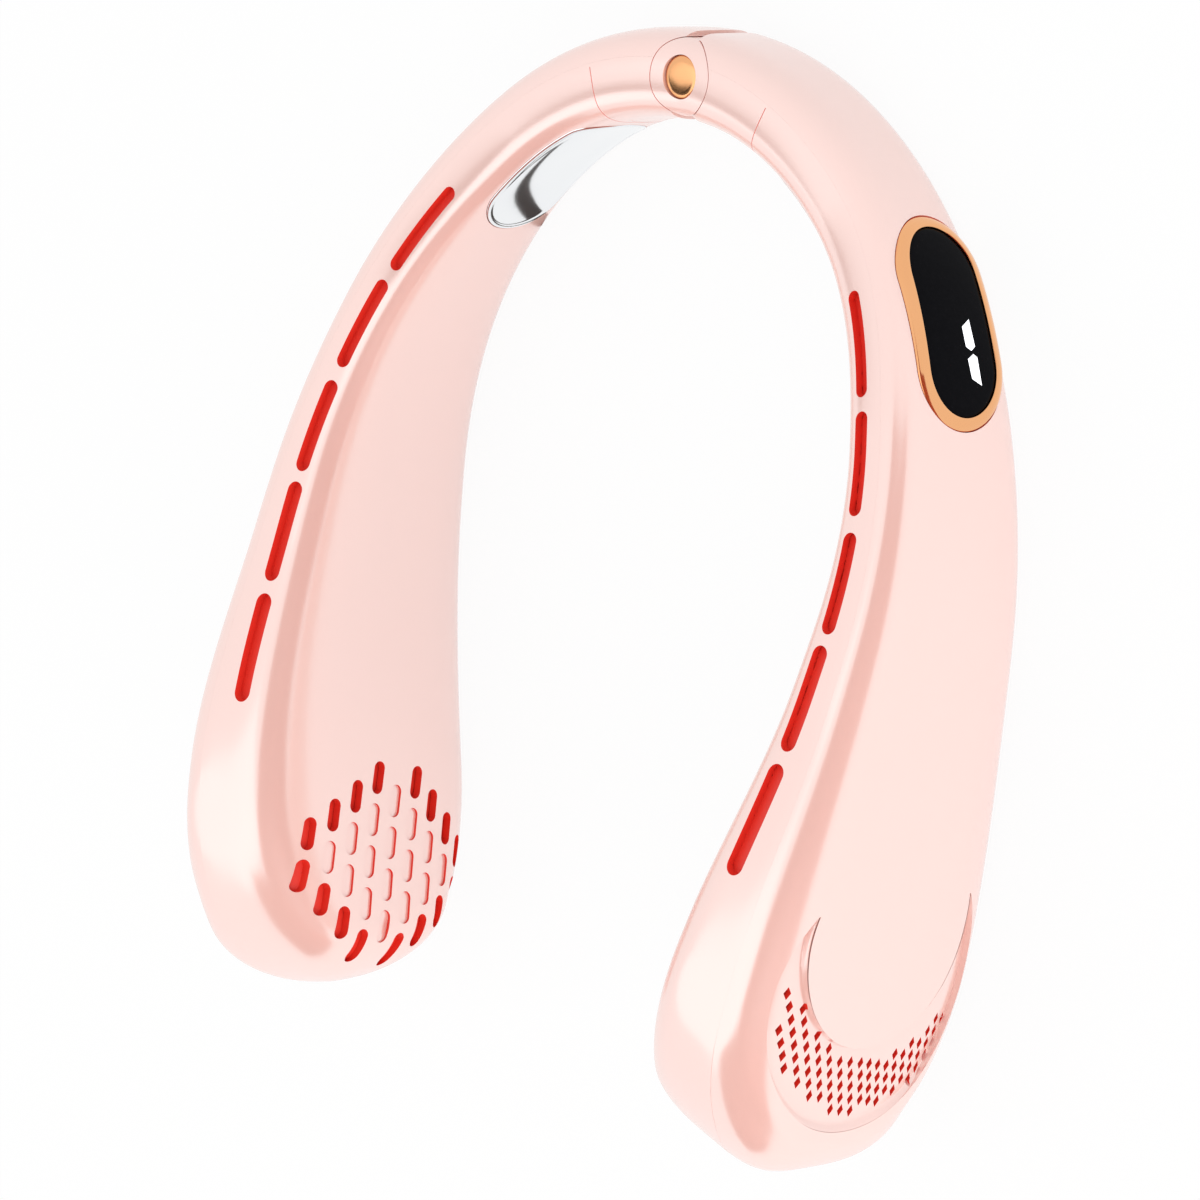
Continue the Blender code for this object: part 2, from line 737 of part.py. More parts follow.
def duct_ring(along, inset, top_inset):
    """The upper inner part of the cavity, closed by a floor at mid height."""
    wide, tall = half_sizes(along, WALL + FIT)
    slots_end = slot_span(SLOT_COUNT - 1)[0]
    widen = min(max((along - slots_end) / (duct_end() - slots_end), 0.0), 1.0)
    outer_share = DUCT_OUTER_SHARE + (DUCT_MOUTH_SHARE - DUCT_OUTER_SHARE) * widen
    edge = outer_share * 0.5 * section_thickness(along) - inset
    wide = wide - inset - DUCT_MOUTH_DRAW * widen
    tall = tall - top_inset - DUCT_MOUTH_DRAW * widen
    angles = ring_angles(seam_angle(along, WALL, -0.5 * SEAM_GAP), True)[:HALF_RING_STEPS // 2 + 1]
    corners = [(wide * power_wave(math.cos(a)), tall * power_wave(math.sin(a))) for a in angles]
    share = (corners[0][0] - edge) / (corners[0][0] - corners[1][0])
    top = corners[0][1] + (corners[1][1] - corners[0][1]) * share
    corners = [(edge, inset), (edge, top)] + corners[1:-1] + [(corners[-1][0], inset)]
    return [arm_point(along, x, y) for x, y in corners]


def air_duct(side, mirrored):
    """A closed channel from the blower to the last slot, with raised lips in the shell's slots."""
    places = grid(DUCT_START, duct_end())
    outer = [duct_ring(along, 0.0, 0.0) for along in places]
    inner = [duct_ring(along, DUCT_WALL, DUCT_TOP_WALL) for along in [DUCT_START + DUCT_WALL] + places[1:]]
    outer[-1] = to_mouth(outer[-1])
    inner[-1] = to_mouth(inner[-1])
    steps = len(places) - 1
    count, rows = len(outer[0]), len(places)
    vertices = [p for ring in outer for p in ring] + [p for ring in inner for p in ring]
    base = rows * count
    faces = [tuple(range(count)), tuple(base + i for i in reversed(range(count)))]
    for row in range(steps):
        for step in range(count):
            a, b = row * count + step, row * count + (step + 1) % count
            faces.append((b, a, a + count, b + count))
            faces.append((base + a, base + b, base + b + count, base + a + count))
    last = steps * count
    for step in range(count):
        a, b = last + step, last + (step + 1) % count
        faces.append((b, a, base + a, base + b))
    duct = add_mesh(side + "_air_duct", vertices, faces, "red_plastic", mirrored, smooth=True)
    face_outwards(duct)
    for index in range(SLOT_COUNT):
        lip = slot_run(f"{side}_lip_{index}", index, SLOT_LIP, -WALL - FIT - 0.5 * DUCT_TOP_WALL,
                       -SLOT_LIP_SINK, None, mirrored)
        combine(duct, lip, "UNION")
    for index in range(SLOT_COUNT):
        hole = slot_run(f"{side}_slot_bore_{index}", index, 0.0, -WALL - DUCT_TOP_WALL - PROUD_CUT,
                        PROUD_CUT, None, mirrored)
        cut(duct, hole)
    return duct


# Blower

def blower_along():
    return ARM_LENGTH - BLOWER_FROM_TIP


def pod_frame():
    """The blower's frame: the section's own, turned to follow the pod's rising middle."""
    origin, along_axis, across_axis, rise_axis = station(blower_along())
    before = station(blower_along() - SCROLL_CHUTE)[0]
    slope = math.atan2(origin.z - before.z, SCROLL_CHUTE)
    turned = along_axis * math.cos(slope) + rise_axis * math.sin(slope)
    return origin, turned, across_axis, rise_axis * math.cos(slope) - along_axis * math.sin(slope)


def scroll_sizes():
    """Radius range, depth across and impeller radius of the blower, from the pod's cavity."""
    wide, tall = half_sizes(blower_along(), WALL)
    wide = 0.5 * section_thickness(blower_along()) - WALL
    reach = SCROLL_REACH_SHARE * tall
    depth = SCROLL_DEPTH_SHARE * 2.0 * wide
    start = reach - SCROLL_GROWTH
    impeller = start - SCROLL_WALL - IMPELLER_GAP
    return start, reach, depth, impeller


def scroll_outline(inset, mouth_extra):
    """A spiral that grows towards the top, and a chute from there to the hinge side."""
    start, reach, _, _ = scroll_sizes()
    turn = 2.0 * math.pi + 0.5 * math.pi - SCROLL_TONGUE
    points = []
    for i in range(SCROLL_SIDES + 1):
        share = i / SCROLL_SIDES
        angle = SCROLL_TONGUE + turn * share
        radius = start + SCROLL_GROWTH * share - inset
        points.append((radius * math.cos(angle), radius * math.sin(angle)))
    mouth = -SCROLL_CHUTE - mouth_extra
    floor = start * math.sin(SCROLL_TONGUE) + inset
    points.append((mouth, reach - inset))
    points.append((mouth, floor))
    points.append((start * math.cos(SCROLL_TONGUE) - inset, floor))
    return points


def window_outline(angle, inner, outer, half_span, steps=5):
    points = []
    for i in range(steps + 1):
        a = angle - half_span + 2.0 * half_span * i / steps
        points.append((outer * math.cos(a), outer * math.sin(a)))
    for i in range(steps + 1):
        a = angle + half_span - 2.0 * half_span * i / steps
        points.append((inner * math.cos(a), inner * math.sin(a)))
    return points


def ear_places():
    """Middles of the two screw ears, just outside the spiral below the axis."""
    start, reach, _, _ = scroll_sizes()
    places = []
    for degrees in EAR_DEGREES:
        angle = math.radians(degrees)
        share = (angle - SCROLL_TONGUE) / (2.5 * math.pi - SCROLL_TONGUE)
        radius = start + SCROLL_GROWTH * share + 0.6 * EAR_RADIUS
        places.append((radius * math.cos(angle), radius * math.sin(angle)))
    return places


def blower_scroll(side, mirrored):
    frame = pod_frame()
    start, reach, depth, impeller = scroll_sizes()
    low, high = -0.5 * depth, 0.5 * depth
    scroll = local_prism(side + "_blower_scroll", frame, scroll_outline(0.0, 0.0), low, high, "red_plastic",
                         mirrored, smooth=True)
    for index, place in enumerate(ear_places()):
        ear = local_prism(f"{side}_ear_{index}", frame, circle_outline(EAR_RADIUS, 12, place), low,
                          low + 2.0 * SCROLL_WALL, None, mirrored)
        combine(scroll, ear, "UNION")
    hollow = local_prism(side + "_scroll_hollow", frame, scroll_outline(SCROLL_WALL, PROUD_CUT),
                         low + SCROLL_WALL, high - SCROLL_WALL, None, mirrored)
    cut(scroll, hollow)
    inlet = local_prism(side + "_scroll_inlet", frame, circle_outline(INLET_SHARE * impeller, ROUND_STEPS),
                        low - PROUD_CUT, low + SCROLL_WALL + PROUD_CUT, None, mirrored)
    cut(scroll, inlet)
    rim = INLET_SHARE * impeller
    half_span = math.pi / 3.0 - 0.5 * MOUNT_ARM_WIDTH / rim
    for index in range(3):
        window = local_prism(f"{side}_window_{index}", frame,
                             window_outline(2.0 * math.pi * index / 3.0, MOTOR_BASE_RADIUS, rim, half_span),
                             high - SCROLL_WALL - PROUD_CUT, high + PROUD_CUT, None, mirrored)
        cut(scroll, window)
    for index, place in enumerate(ear_places()):
        hole = local_prism(f"{side}_ear_hole_{index}", frame, circle_outline(SCREW_SHANK_RADIUS + FIT, 10, place),
                           low - PROUD_CUT, low + 2.0 * SCROLL_WALL + PROUD_CUT, None, mirrored)
        cut(scroll, hole)
    return scroll


def impeller_wheel(side, mirrored):
    """Back plate, hub cup and swept blades under a ring, as one moulding."""
    origin, along_axis, across_axis, rise_axis = pod_frame()
    _, _, depth, radius = scroll_sizes()
    high = 0.5 * depth - SCROLL_WALL - IMPELLER_SIDE_GAP
    low = -0.5 * depth + SCROLL_WALL + IMPELLER_SIDE_GAP
    blade_inner = BLADE_INNER_SHARE * radius
    hub_low = high - 0.5 * (high - low)
    profile = [(HUB_RADIUS - HUB_WALL, high), (radius, high), (radius, high - IMPELLER_PLATE),
               (HUB_RADIUS, high - IMPELLER_PLATE), (HUB_RADIUS, hub_low), (SHAFT_RADIUS + FIT, hub_low),
               (SHAFT_RADIUS + FIT, hub_low + HUB_WALL), (HUB_RADIUS - HUB_WALL, hub_low + HUB_WALL)]
    wheel = turned_solid(side + "_impeller", origin, across_axis, profile, "red_plastic", ROUND_STEPS, mirrored)
    outlines = []
    for index in range(BLADE_COUNT):
        angle = 2.0 * math.pi * index / BLADE_COUNT
        front, back = [], []
        for step in range(BLADE_STEPS + 1):
            share = step / BLADE_STEPS
            reach = blade_inner + (radius - 0.5 * BLADE_THICKNESS - blade_inner) * share
            bend = angle + BLADE_SWEEP * share * share
            half = 0.5 * BLADE_THICKNESS / reach
            front.append((reach * math.cos(bend + half), reach * math.sin(bend + half)))
            back.append((reach * math.cos(bend - half), reach * math.sin(bend - half)))
        outlines.append(back + front[::-1])
    plate_middle = high - 0.5 * IMPELLER_PLATE

    def place(point, across):
        return origin + along_axis * point[0] + rise_axis * point[1] + across_axis * across

    vertices, faces = prism_parts(outlines, lambda p: place(p, low + 0.5 * IMPELLER_RING),
                                  lambda p: place(p, plate_middle))
    blades = add_mesh(side + "_blades", vertices, faces, None, mirrored)
    face_outwards(blades)
    combine(wheel, blades, "UNION")
    ring_inner = radius - 2.5 * IMPELLER_RING
    ring = turned_solid(side + "_blade_ring", origin, across_axis,
                        [(ring_inner, low), (radius, low), (radius, low + IMPELLER_RING),
                         (ring_inner, low + IMPELLER_RING)], None, ROUND_STEPS, mirrored)
    combine(wheel, ring, "UNION")
    centre = Vector((-origin.x if mirrored else origin.x, origin.y, origin.z))
    move_origin(wheel, centre)
    return wheel


def motor_parts(side, mirrored):
    origin, _, across_axis, _ = pod_frame()
    _, _, depth, _ = scroll_sizes()
    wall_face = 0.5 * depth - SCROLL_WALL
    hub_face = 0.5 * depth - SCROLL_WALL - IMPELLER_SIDE_GAP
    low = -0.5 * depth + SCROLL_WALL + IMPELLER_SIDE_GAP
    hub_floor = hub_face - 0.5 * (hub_face - low) + HUB_WALL
    bore = SHAFT_RADIUS + FIT
    outer = HUB_RADIUS - HUB_WALL - STATOR_GAP
    top = wall_face - FIT
    stator = turned_solid(side + "_motor_stator", origin, across_axis,
                          [(bore, hub_floor + STATOR_GAP), (outer, hub_floor + STATOR_GAP), (outer, top),
                           (bore, top)], "copper_winding", ROUND_STEPS, mirrored)
    shaft = turned_solid(side + "_motor_shaft", origin, across_axis,
                         [(0.0, hub_floor - HUB_WALL - FIT), (SHAFT_RADIUS, hub_floor - HUB_WALL - FIT),
                          (SHAFT_RADIUS, top), (0.0, top)], "steel", SMALL_ROUND_STEPS, mirrored)
    centre = Vector((-origin.x if mirrored else origin.x, origin.y, origin.z))
    move_origin(shaft, centre)
    return [stator], [shaft]


def scroll_screws(side, mirrored):
    origin, along_axis, across_axis, rise_axis = pod_frame()
    _, _, depth, _ = scroll_sizes()
    seat = -0.5 * depth + 2.0 * SCROLL_WALL + FIT
    screws = []
    for index, place in enumerate(ear_places()):
        base = origin + along_axis * place[0] + rise_axis * place[1]
        screws.append(turned_solid(f"{side}_scroll_screw_{index + 1}", base, across_axis,
                                   [(0.0, seat - SCREW_LENGTH), (SCREW_SHANK_RADIUS, seat - SCREW_LENGTH),
                                    (SCREW_SHANK_RADIUS, seat), (SCREW_HEAD_RADIUS, seat),
                                    (SCREW_HEAD_RADIUS, seat + SCREW_HEAD_HEIGHT),
                                    (0.0, seat + SCREW_HEAD_HEIGHT)], "steel", SCREW_STEPS, mirrored))
    return screws


# Pod grilles

def intake_outlines():
    """Capsule holes in slanted columns; the end holes of each column but the middle one are open."""
    open_holes = []
    cosine, sine = math.cos(INTAKE_TURN), math.sin(INTAKE_TURN)
    middle = len(INTAKE_COLUMN_COUNTS) // 2
    for column, count in enumerate(INTAKE_COLUMN_COUNTS):
        for row in range(count):
            if column == middle or row not in (0, count - 1):
                continue
            x = INTAKE_ROW_PITCH * (row - 0.5 * (count - 1))
            y = INTAKE_COLUMN_PITCH * (column - middle)
            centre = (x * cosine - y * sine, x * sine + y * cosine)
            open_holes.append(capsule_outline(INTAKE_HOLE_LENGTH, INTAKE_HOLE_WIDTH, INTAKE_TURN, centre,
                                              CAPSULE_END_STEPS))
    return open_holes


def crescent_rows(margin):
    """Rows between the tongue's round end and the rim of the recess."""
    tongue = ARM_LENGTH - TONGUE_FROM_TIP
    recess = ARM_LENGTH - RECESS_FROM_TIP
    inner = TONGUE_RADIUS - margin
    outer = RECESS_RADIUS + margin
    return tongue, inner, recess, outer


def crescent_solid(name, margin, low, high, finish, mirrored, smooth=True):
    """A crescent plate along the outer face, between two circles, from one depth to another."""
    tongue, inner, recess, outer = crescent_rows(margin)
    gap = recess - tongue
    reach = (inner * inner - outer * outer + gap * gap) / (2.0 * gap)
    cross = math.sqrt(max(inner * inner - reach * reach, 0.0))
    inner_edge = math.atan2(cross, reach)
    outer_edge = math.atan2(cross, reach - gap)
    layers = [[], [], [], []]
    for i in range(GRILLE_STEPS + 1):
        share = 2.0 * i / GRILLE_STEPS - 1.0
        share *= 1.0 - 0.02 * (abs(share) > 0.999)
        near = (tongue + inner * math.cos(inner_edge * share), inner * math.sin(inner_edge * share))
        far = (recess + outer * math.cos(outer_edge * share), outer * math.sin(outer_edge * share))
        for layer, (part, depth) in zip(layers, ((0.0, low), (1.0, low), (1.0, high), (0.0, high))):
            along = near[0] + (far[0] - near[0]) * part
            rise = near[1] + (far[1] - near[1]) * part
            layer.append(arm_point(along, side_across(along, rise, 0.0) - depth, rise))
    rings = [[layer[i] for layer in layers] for i in range(GRILLE_STEPS + 1)]
    return loft_solid(name, rings, finish, mirrored, smooth)


def diamond_outlines():
    """A square lattice of diamonds, kept inside the crescent."""
    tongue, inner, recess, outer = crescent_rows(-FIT)
    centre = recess
    outlines = []
    columns = int(outer / DIAMOND_COLUMN_PITCH) + 1
    rows = int(2.0 * outer / DIAMOND_ROW_PITCH) + 1
    for column in range(-columns, columns + 1):
        rise = column * DIAMOND_COLUMN_PITCH
        for row in range(-rows, rows + 1):
            along = centre + row * DIAMOND_ROW_PITCH
            to_tongue = math.hypot(along - tongue, rise) - inner
            to_rim = outer - math.hypot(along - recess, rise)
            if along > tongue and to_tongue > DIAMOND_EDGE and to_rim > DIAMOND_EDGE:
                x = along - centre
                outlines.append([(x - DIAMOND_HALF_LENGTH, rise), (x, rise - DIAMOND_HALF_WIDTH),
                                 (x + DIAMOND_HALF_LENGTH, rise), (x, rise + DIAMOND_HALF_WIDTH)])
    return centre, outlines


def outer_grille(side, mirrored):
    plate = crescent_solid(side + "_outer_grille", -FIT, GRILLE_SINK, GRILLE_SINK + GRILLE_THICKNESS,
                           "pink_plastic", mirrored)
    centre, outlines = diamond_outlines()
    holes = mapped_prisms(side + "_diamonds", outlines, centre, 0.0, "outer", GRILLE_SINK - PROUD_CUT,
                          GRILLE_SINK + GRILLE_THICKNESS + PROUD_CUT, None, mirrored)
    cut(plate, holes)
    return plate


# Shell assembly

def arm_shells(side, mirrored):
    inner = half_shell(side + "_inner_shell", HORN_INNER, True, mirrored)
    outer = half_shell(side + "_outer_shell", HORN_OUTER, False, mirrored)
    radius, low, high = KNUCKLE_RADIUS + KNUCKLE_GAP, -PROUD_CUT, HINGE_HEIGHT + PROUD_CUT
    drum = turned_solid(side + "_drum", Vector((0.0, HINGE_Y, 0.0)), Vector((0.0, 0.0, 1.0)),
                        [(0.0, low), (radius, low), (radius, high), (0.0, high)], None, KNUCKLE_STEPS)
    cut(inner, drum)
    cut(outer, drum)
    for index in range(SLOT_COUNT):
        cut(inner, slot_run(f"{side}_slot_{index}", index, SLOT_LIP + FIT, -WALL - PROUD_CUT, PROUD_CUT,
                            None, mirrored))
    cover_hole = face_patch(side + "_cover_hole", capsule_rows(COVER_START, COVER_END, COVER_HALF_HEIGHT, FIT,
                                                               round_start=False, steps=3),
                            "inner", -PROUD_CUT, WALL + PROUD_CUT, None, mirrored)
    cut(inner, cover_hole)
    plate_hole = face_patch(side + "_plate_hole", plate_rows(FIT), "inner", -PROUD_CUT, WALL + PROUD_CUT, None,
                            mirrored)
    cut(inner, plate_hole)
    open_holes = intake_outlines()
    centre = ARM_LENGTH - INTAKE_FROM_TIP
    cut(inner, mapped_prisms(side + "_intake_holes", open_holes, centre, 0.0, "inner", -PROUD_CUT,
                             WALL + PROUD_CUT, None, mirrored))
    cut(outer, crescent_solid(side + "_crescent_hole", 0.0, -PROUD_CUT, WALL + 2.0 * PROUD_CUT, None, mirrored,
                              smooth=False))
    return inner, outer


# Hinge

def bridge_rings(reach, steps=5):
    """Whole sections across the hinge, from the left arm to the right one."""
    rings = []
    for i in range(steps + 1):
        along = reach * (2.0 * i / steps - 1.0)
        wide, tall = half_sizes(abs(along), 0.0)
        ring = []
        for k in range(ROUND_STEPS):
            angle = 2.0 * math.pi * k / ROUND_STEPS
            point = arm_point(abs(along), wide * power_wave(math.cos(angle)), tall * power_wave(math.sin(angle)))
            point.x = math.copysign(point.x, along)
            point.z = max(point.z, 0.0)
            ring.append(point)
        rings.append(ring)
    return rings


def tang_rings(upper, steps=3):
    """A bar that fills half of the cavity beside the hinge."""
    rings = []
    begin = KNUCKLE_RADIUS - TANG_OVERLAP
    for i in range(steps + 1):
        along = begin + (TANG_END - begin) * i / steps
        wide, tall = half_sizes(along, WALL + TANG_FIT + chord_gap())
        ring = []
        for k in range(9):
            angle = math.pi * k / 8
            rise = max(tall * power_wave(math.sin(angle)), KNUCKLE_GAP)
            ring.append(arm_point(along, wide * power_wave(math.cos(angle)), rise if upper else -rise))
        rings.append(ring)
    return rings


def hinge_parts():
    """Two lapped knuckles on a headed pin: the left arm's above, the right arm's below."""
    middle = middle_height(0.0)
    top = middle + 0.5 * HINGE_HEIGHT
    cap_floor = top - PIN_CAP_SINK - PIN_CAP_DEPTH
    nut_top = PIN_NUT_LIFT + PIN_NUT_DEPTH
    lower_top = middle - 0.5 * KNUCKLE_GAP
    washer_floor = lower_top - WASHER_THICKNESS
    bore = PIN_RADIUS + FIT
    cap_seat = PIN_CAP_RADIUS + FIT
    nut_seat = PIN_NUT_RADIUS + FIT
    washer_seat = WASHER_RADIUS + FIT
    foot = Vector((0.0, HINGE_Y, 0.0))
    axis = Vector((0.0, 0.0, 1.0))
    upper = turned_solid("left_hinge_knuckle", foot, axis,
                         [(bore, middle + 0.5 * KNUCKLE_GAP), (KNUCKLE_RADIUS, middle + 0.5 * KNUCKLE_GAP),
                          (KNUCKLE_RADIUS, top + PROUD_CUT), (cap_seat, top + PROUD_CUT),
                          (cap_seat, cap_floor - FIT), (bore, cap_floor - FIT)],
                         "pink_plastic", KNUCKLE_STEPS)
    lower = turned_solid("right_hinge_knuckle", foot, axis,
                         [(nut_seat, -PROUD_CUT), (KNUCKLE_RADIUS, -PROUD_CUT), (KNUCKLE_RADIUS, lower_top),
                          (washer_seat, lower_top), (washer_seat, washer_floor - FIT),
                          (bore, washer_floor - FIT), (bore, nut_top + FIT), (nut_seat, nut_top + FIT)],
                         "pink_plastic", KNUCKLE_STEPS)
    bridge = loft_solid("hinge_bridge", bridge_rings(KNUCKLE_RADIUS + OVERRUN), None)
    for knuckle in (upper, lower):
        combine(knuckle, bridge, "INTERSECT")
    combine(upper, loft_solid("left_tang", tang_rings(True), None, mirrored=True), "UNION")
    combine(lower, loft_solid("right_tang", tang_rings(False), None), "UNION")
    pin = turned_solid("hinge_pin", foot, axis, [(0.0, nut_top + FIT), (PIN_RADIUS, nut_top + FIT),
                                                (PIN_RADIUS, cap_floor - FIT), (0.0, cap_floor - FIT)],
                       "steel", SMALL_ROUND_STEPS)
    edge = 0.25 * PIN_CAP_DEPTH
    cap = turned_solid("pin_cap", foot, axis, [(0.0, cap_floor), (PIN_CAP_RADIUS, cap_floor),
                                              (PIN_CAP_RADIUS, top - PIN_CAP_SINK - edge),
                                              (PIN_CAP_RADIUS - edge, top - PIN_CAP_SINK),
                                              (0.0, top - PIN_CAP_SINK)], "rose_gold", ROUND_STEPS)
    nut = turned_solid("pin_nut", foot, axis, [(0.0, PIN_NUT_LIFT), (PIN_NUT_RADIUS, PIN_NUT_LIFT),
                                              (PIN_NUT_RADIUS, nut_top), (0.0, nut_top)], "steel", 6)
    washer = turned_solid("friction_washer", foot, axis,
                          [(bore, washer_floor), (WASHER_RADIUS, washer_floor),
                           (WASHER_RADIUS, washer_floor + WASHER_THICKNESS),
                           (bore, washer_floor + WASHER_THICKNESS)], "steel", ROUND_STEPS)
    return [upper, pin, cap, nut, washer], [lower]


def hinge_cover(side, mirrored):
    rows = capsule_rows(COVER_START, COVER_END, COVER_HALF_HEIGHT, round_start=False, steps=3)
    return face_patch(side + "_hinge_cover", rows, "inner", 0.0, COVER_THICKNESS, "pink_plastic", mirrored)


# Cooling stack

def plate_rows(margin):
    """The cooling plate's outline: round ended, and taller where the arm is taller."""
    length = PLATE_END - PLATE_START
    half_start = 0.5 * PLATE_HALF_SHARE * section_height(PLATE_START + 0.25 * length)
    half_end = 0.5 * PLATE_HALF_SHARE * section_height(PLATE_END - 0.25 * length)
    rows = []
    for along, rises in capsule_rows(PLATE_START, PLATE_END, half_start, margin):
        share = (along - PLATE_START) / length
        grow = (half_start + (half_end - half_start) * share) / half_start
        rows.append((along, [rise * grow for rise in rises]))
    return rows


def cooling_stack(side, mirrored):
    plate = face_patch(side + "_cooling_plate", plate_rows(0.0), "inner", 0.0, PLATE_THICKNESS, "chrome", mirrored)
    along = 0.5 * (PLATE_START + PLATE_END)
    frame = station(along)
    face = -0.5 * section_thickness(along) + PLATE_THICKNESS + FIT
    tile = local_prism(side + "_cooler_tile", frame, box_outline(TILE_LENGTH, TILE_HEIGHT), face,
                       face + TILE_THICKNESS, "white_ceramic", mirrored)
    sink_face = face + TILE_THICKNESS + FIT
    pitch = SINK_HEIGHT / (SINK_FIN_COUNT - 0.5)
    profile = [(sink_face, -0.5 * SINK_HEIGHT)]
    for index in range(SINK_FIN_COUNT):
        low = -0.5 * SINK_HEIGHT + pitch * index
        profile += [(sink_face + SINK_BASE + SINK_FIN_HEIGHT, low),
                    (sink_face + SINK_BASE + SINK_FIN_HEIGHT, low + 0.5 * pitch)]
        if index < SINK_FIN_COUNT - 1:
            profile += [(sink_face + SINK_BASE, low + 0.5 * pitch), (sink_face + SINK_BASE, low + pitch)]
    profile.append((sink_face, 0.5 * SINK_HEIGHT))
    origin, along_axis, across_axis, rise_axis = frame

    def place(point, distance):
        return origin + along_axis * distance + across_axis * point[0] + rise_axis * point[1]

    vertices, faces = prism_parts([profile], lambda p: place(p, -0.5 * SINK_LENGTH),
                                  lambda p: place(p, 0.5 * SINK_LENGTH))
    sink = add_mesh(side + "_heat_sink", vertices, faces, "steel", mirrored)
    face_outwards(sink)
    return [plate, tile, sink]


# Electrics

def battery(side, mirrored):
    """A round cell along the lower half of the arm, sized by the cavity at its narrow end."""
    middle = BATTERY_START + 0.5 * BATTERY_LENGTH
    origin, along_axis, across_axis, rise_axis = station(middle)
    drift = abs((station(BATTERY_START)[0] - origin).dot(across_axis))
    radius = half_sizes(BATTERY_START, WALL)[0] - BATTERY_CLEARANCE - drift - chord_gap()
    lowest = -0.5 * section_height(BATTERY_START) + WALL
    narrow = station(BATTERY_START)[0]
    rise = narrow.z + lowest + radius + BATTERY_LIFT - origin.z
    base = origin + rise_axis * rise - along_axis * 0.5 * BATTERY_LENGTH
    return turned_solid(side + "_battery", base, along_axis,
                        [(0.0, 0.0), (radius, 0.0), (radius, BATTERY_LENGTH - BATTERY_NUB_HEIGHT),
                         (BATTERY_NUB_RADIUS, BATTERY_LENGTH - BATTERY_NUB_HEIGHT),
                         (BATTERY_NUB_RADIUS, BATTERY_LENGTH), (0.0, BATTERY_LENGTH)],
                        "battery_wrap", SMALL_ROUND_STEPS, mirrored)


def control_board():
    frame = station(CONTROL_BOARD_ALONG)
    origin = frame[0]
    low = -origin.z + WALL + CONTROL_BOARD_LIFT
    centre = (0.0, low + 0.5 * CONTROL_BOARD_HEIGHT)
    board = local_prism("control_board", frame, box_outline(CONTROL_BOARD_LENGTH, CONTROL_BOARD_HEIGHT, centre),
                        -0.5 * BOARD_THICKNESS, 0.5 * BOARD_THICKNESS, "circuit_board")
    chip = local_prism("control_chip", frame, box_outline(CHIP_SIZE, CHIP_SIZE, centre), 0.0,
                       0.5 * BOARD_THICKNESS + CHIP_HEIGHT, None)
    combine(board, chip, "UNION")
    return board


def display_rows(margin):
    rows = []
    start = DISPLAY_ALONG - 0.5 * DISPLAY_LENGTH
    slope = math.tan(DISPLAY_TURN)
    for along, rises in capsule_rows(start, start + DISPLAY_LENGTH, 0.5 * DISPLAY_HEIGHT, margin, steps=6):
        shift = slope * (along - DISPLAY_ALONG)
        rows.append((along, [rise + shift for rise in rises]))
    return rows


def display_parts(outer_shell):
    hole = face_patch("display_hole", display_rows(0.0), "outer", -PROUD_CUT, WALL + PROUD_CUT, None, False)
    cut(outer_shell, hole)
    bezel = face_patch("display_bezel", display_rows(-FIT), "outer", -BEZEL_PROUD, BEZEL_DEPTH, "rose_gold", False)
    opening = face_patch("bezel_opening", display_rows(-FIT - BEZEL_WIDTH), "outer", -PROUD_CUT,
                         BEZEL_DEPTH + PROUD_CUT, None, False)
    cut(bezel, opening)
    glass = face_patch("display_glass", display_rows(-2.0 * FIT - BEZEL_WIDTH), "outer", GLASS_SINK, BEZEL_DEPTH,
                       "black_glass", False)
    frame = station(DISPLAY_ALONG)
    face = 0.5 * section_thickness(DISPLAY_ALONG) - DISPLAY_BOARD_SINK
    board = local_prism("display_board", frame, box_outline(DISPLAY_BOARD_LENGTH, DISPLAY_BOARD_HEIGHT),
                        face - BOARD_THICKNESS, face, "circuit_board")
    return [bezel, glass, board]


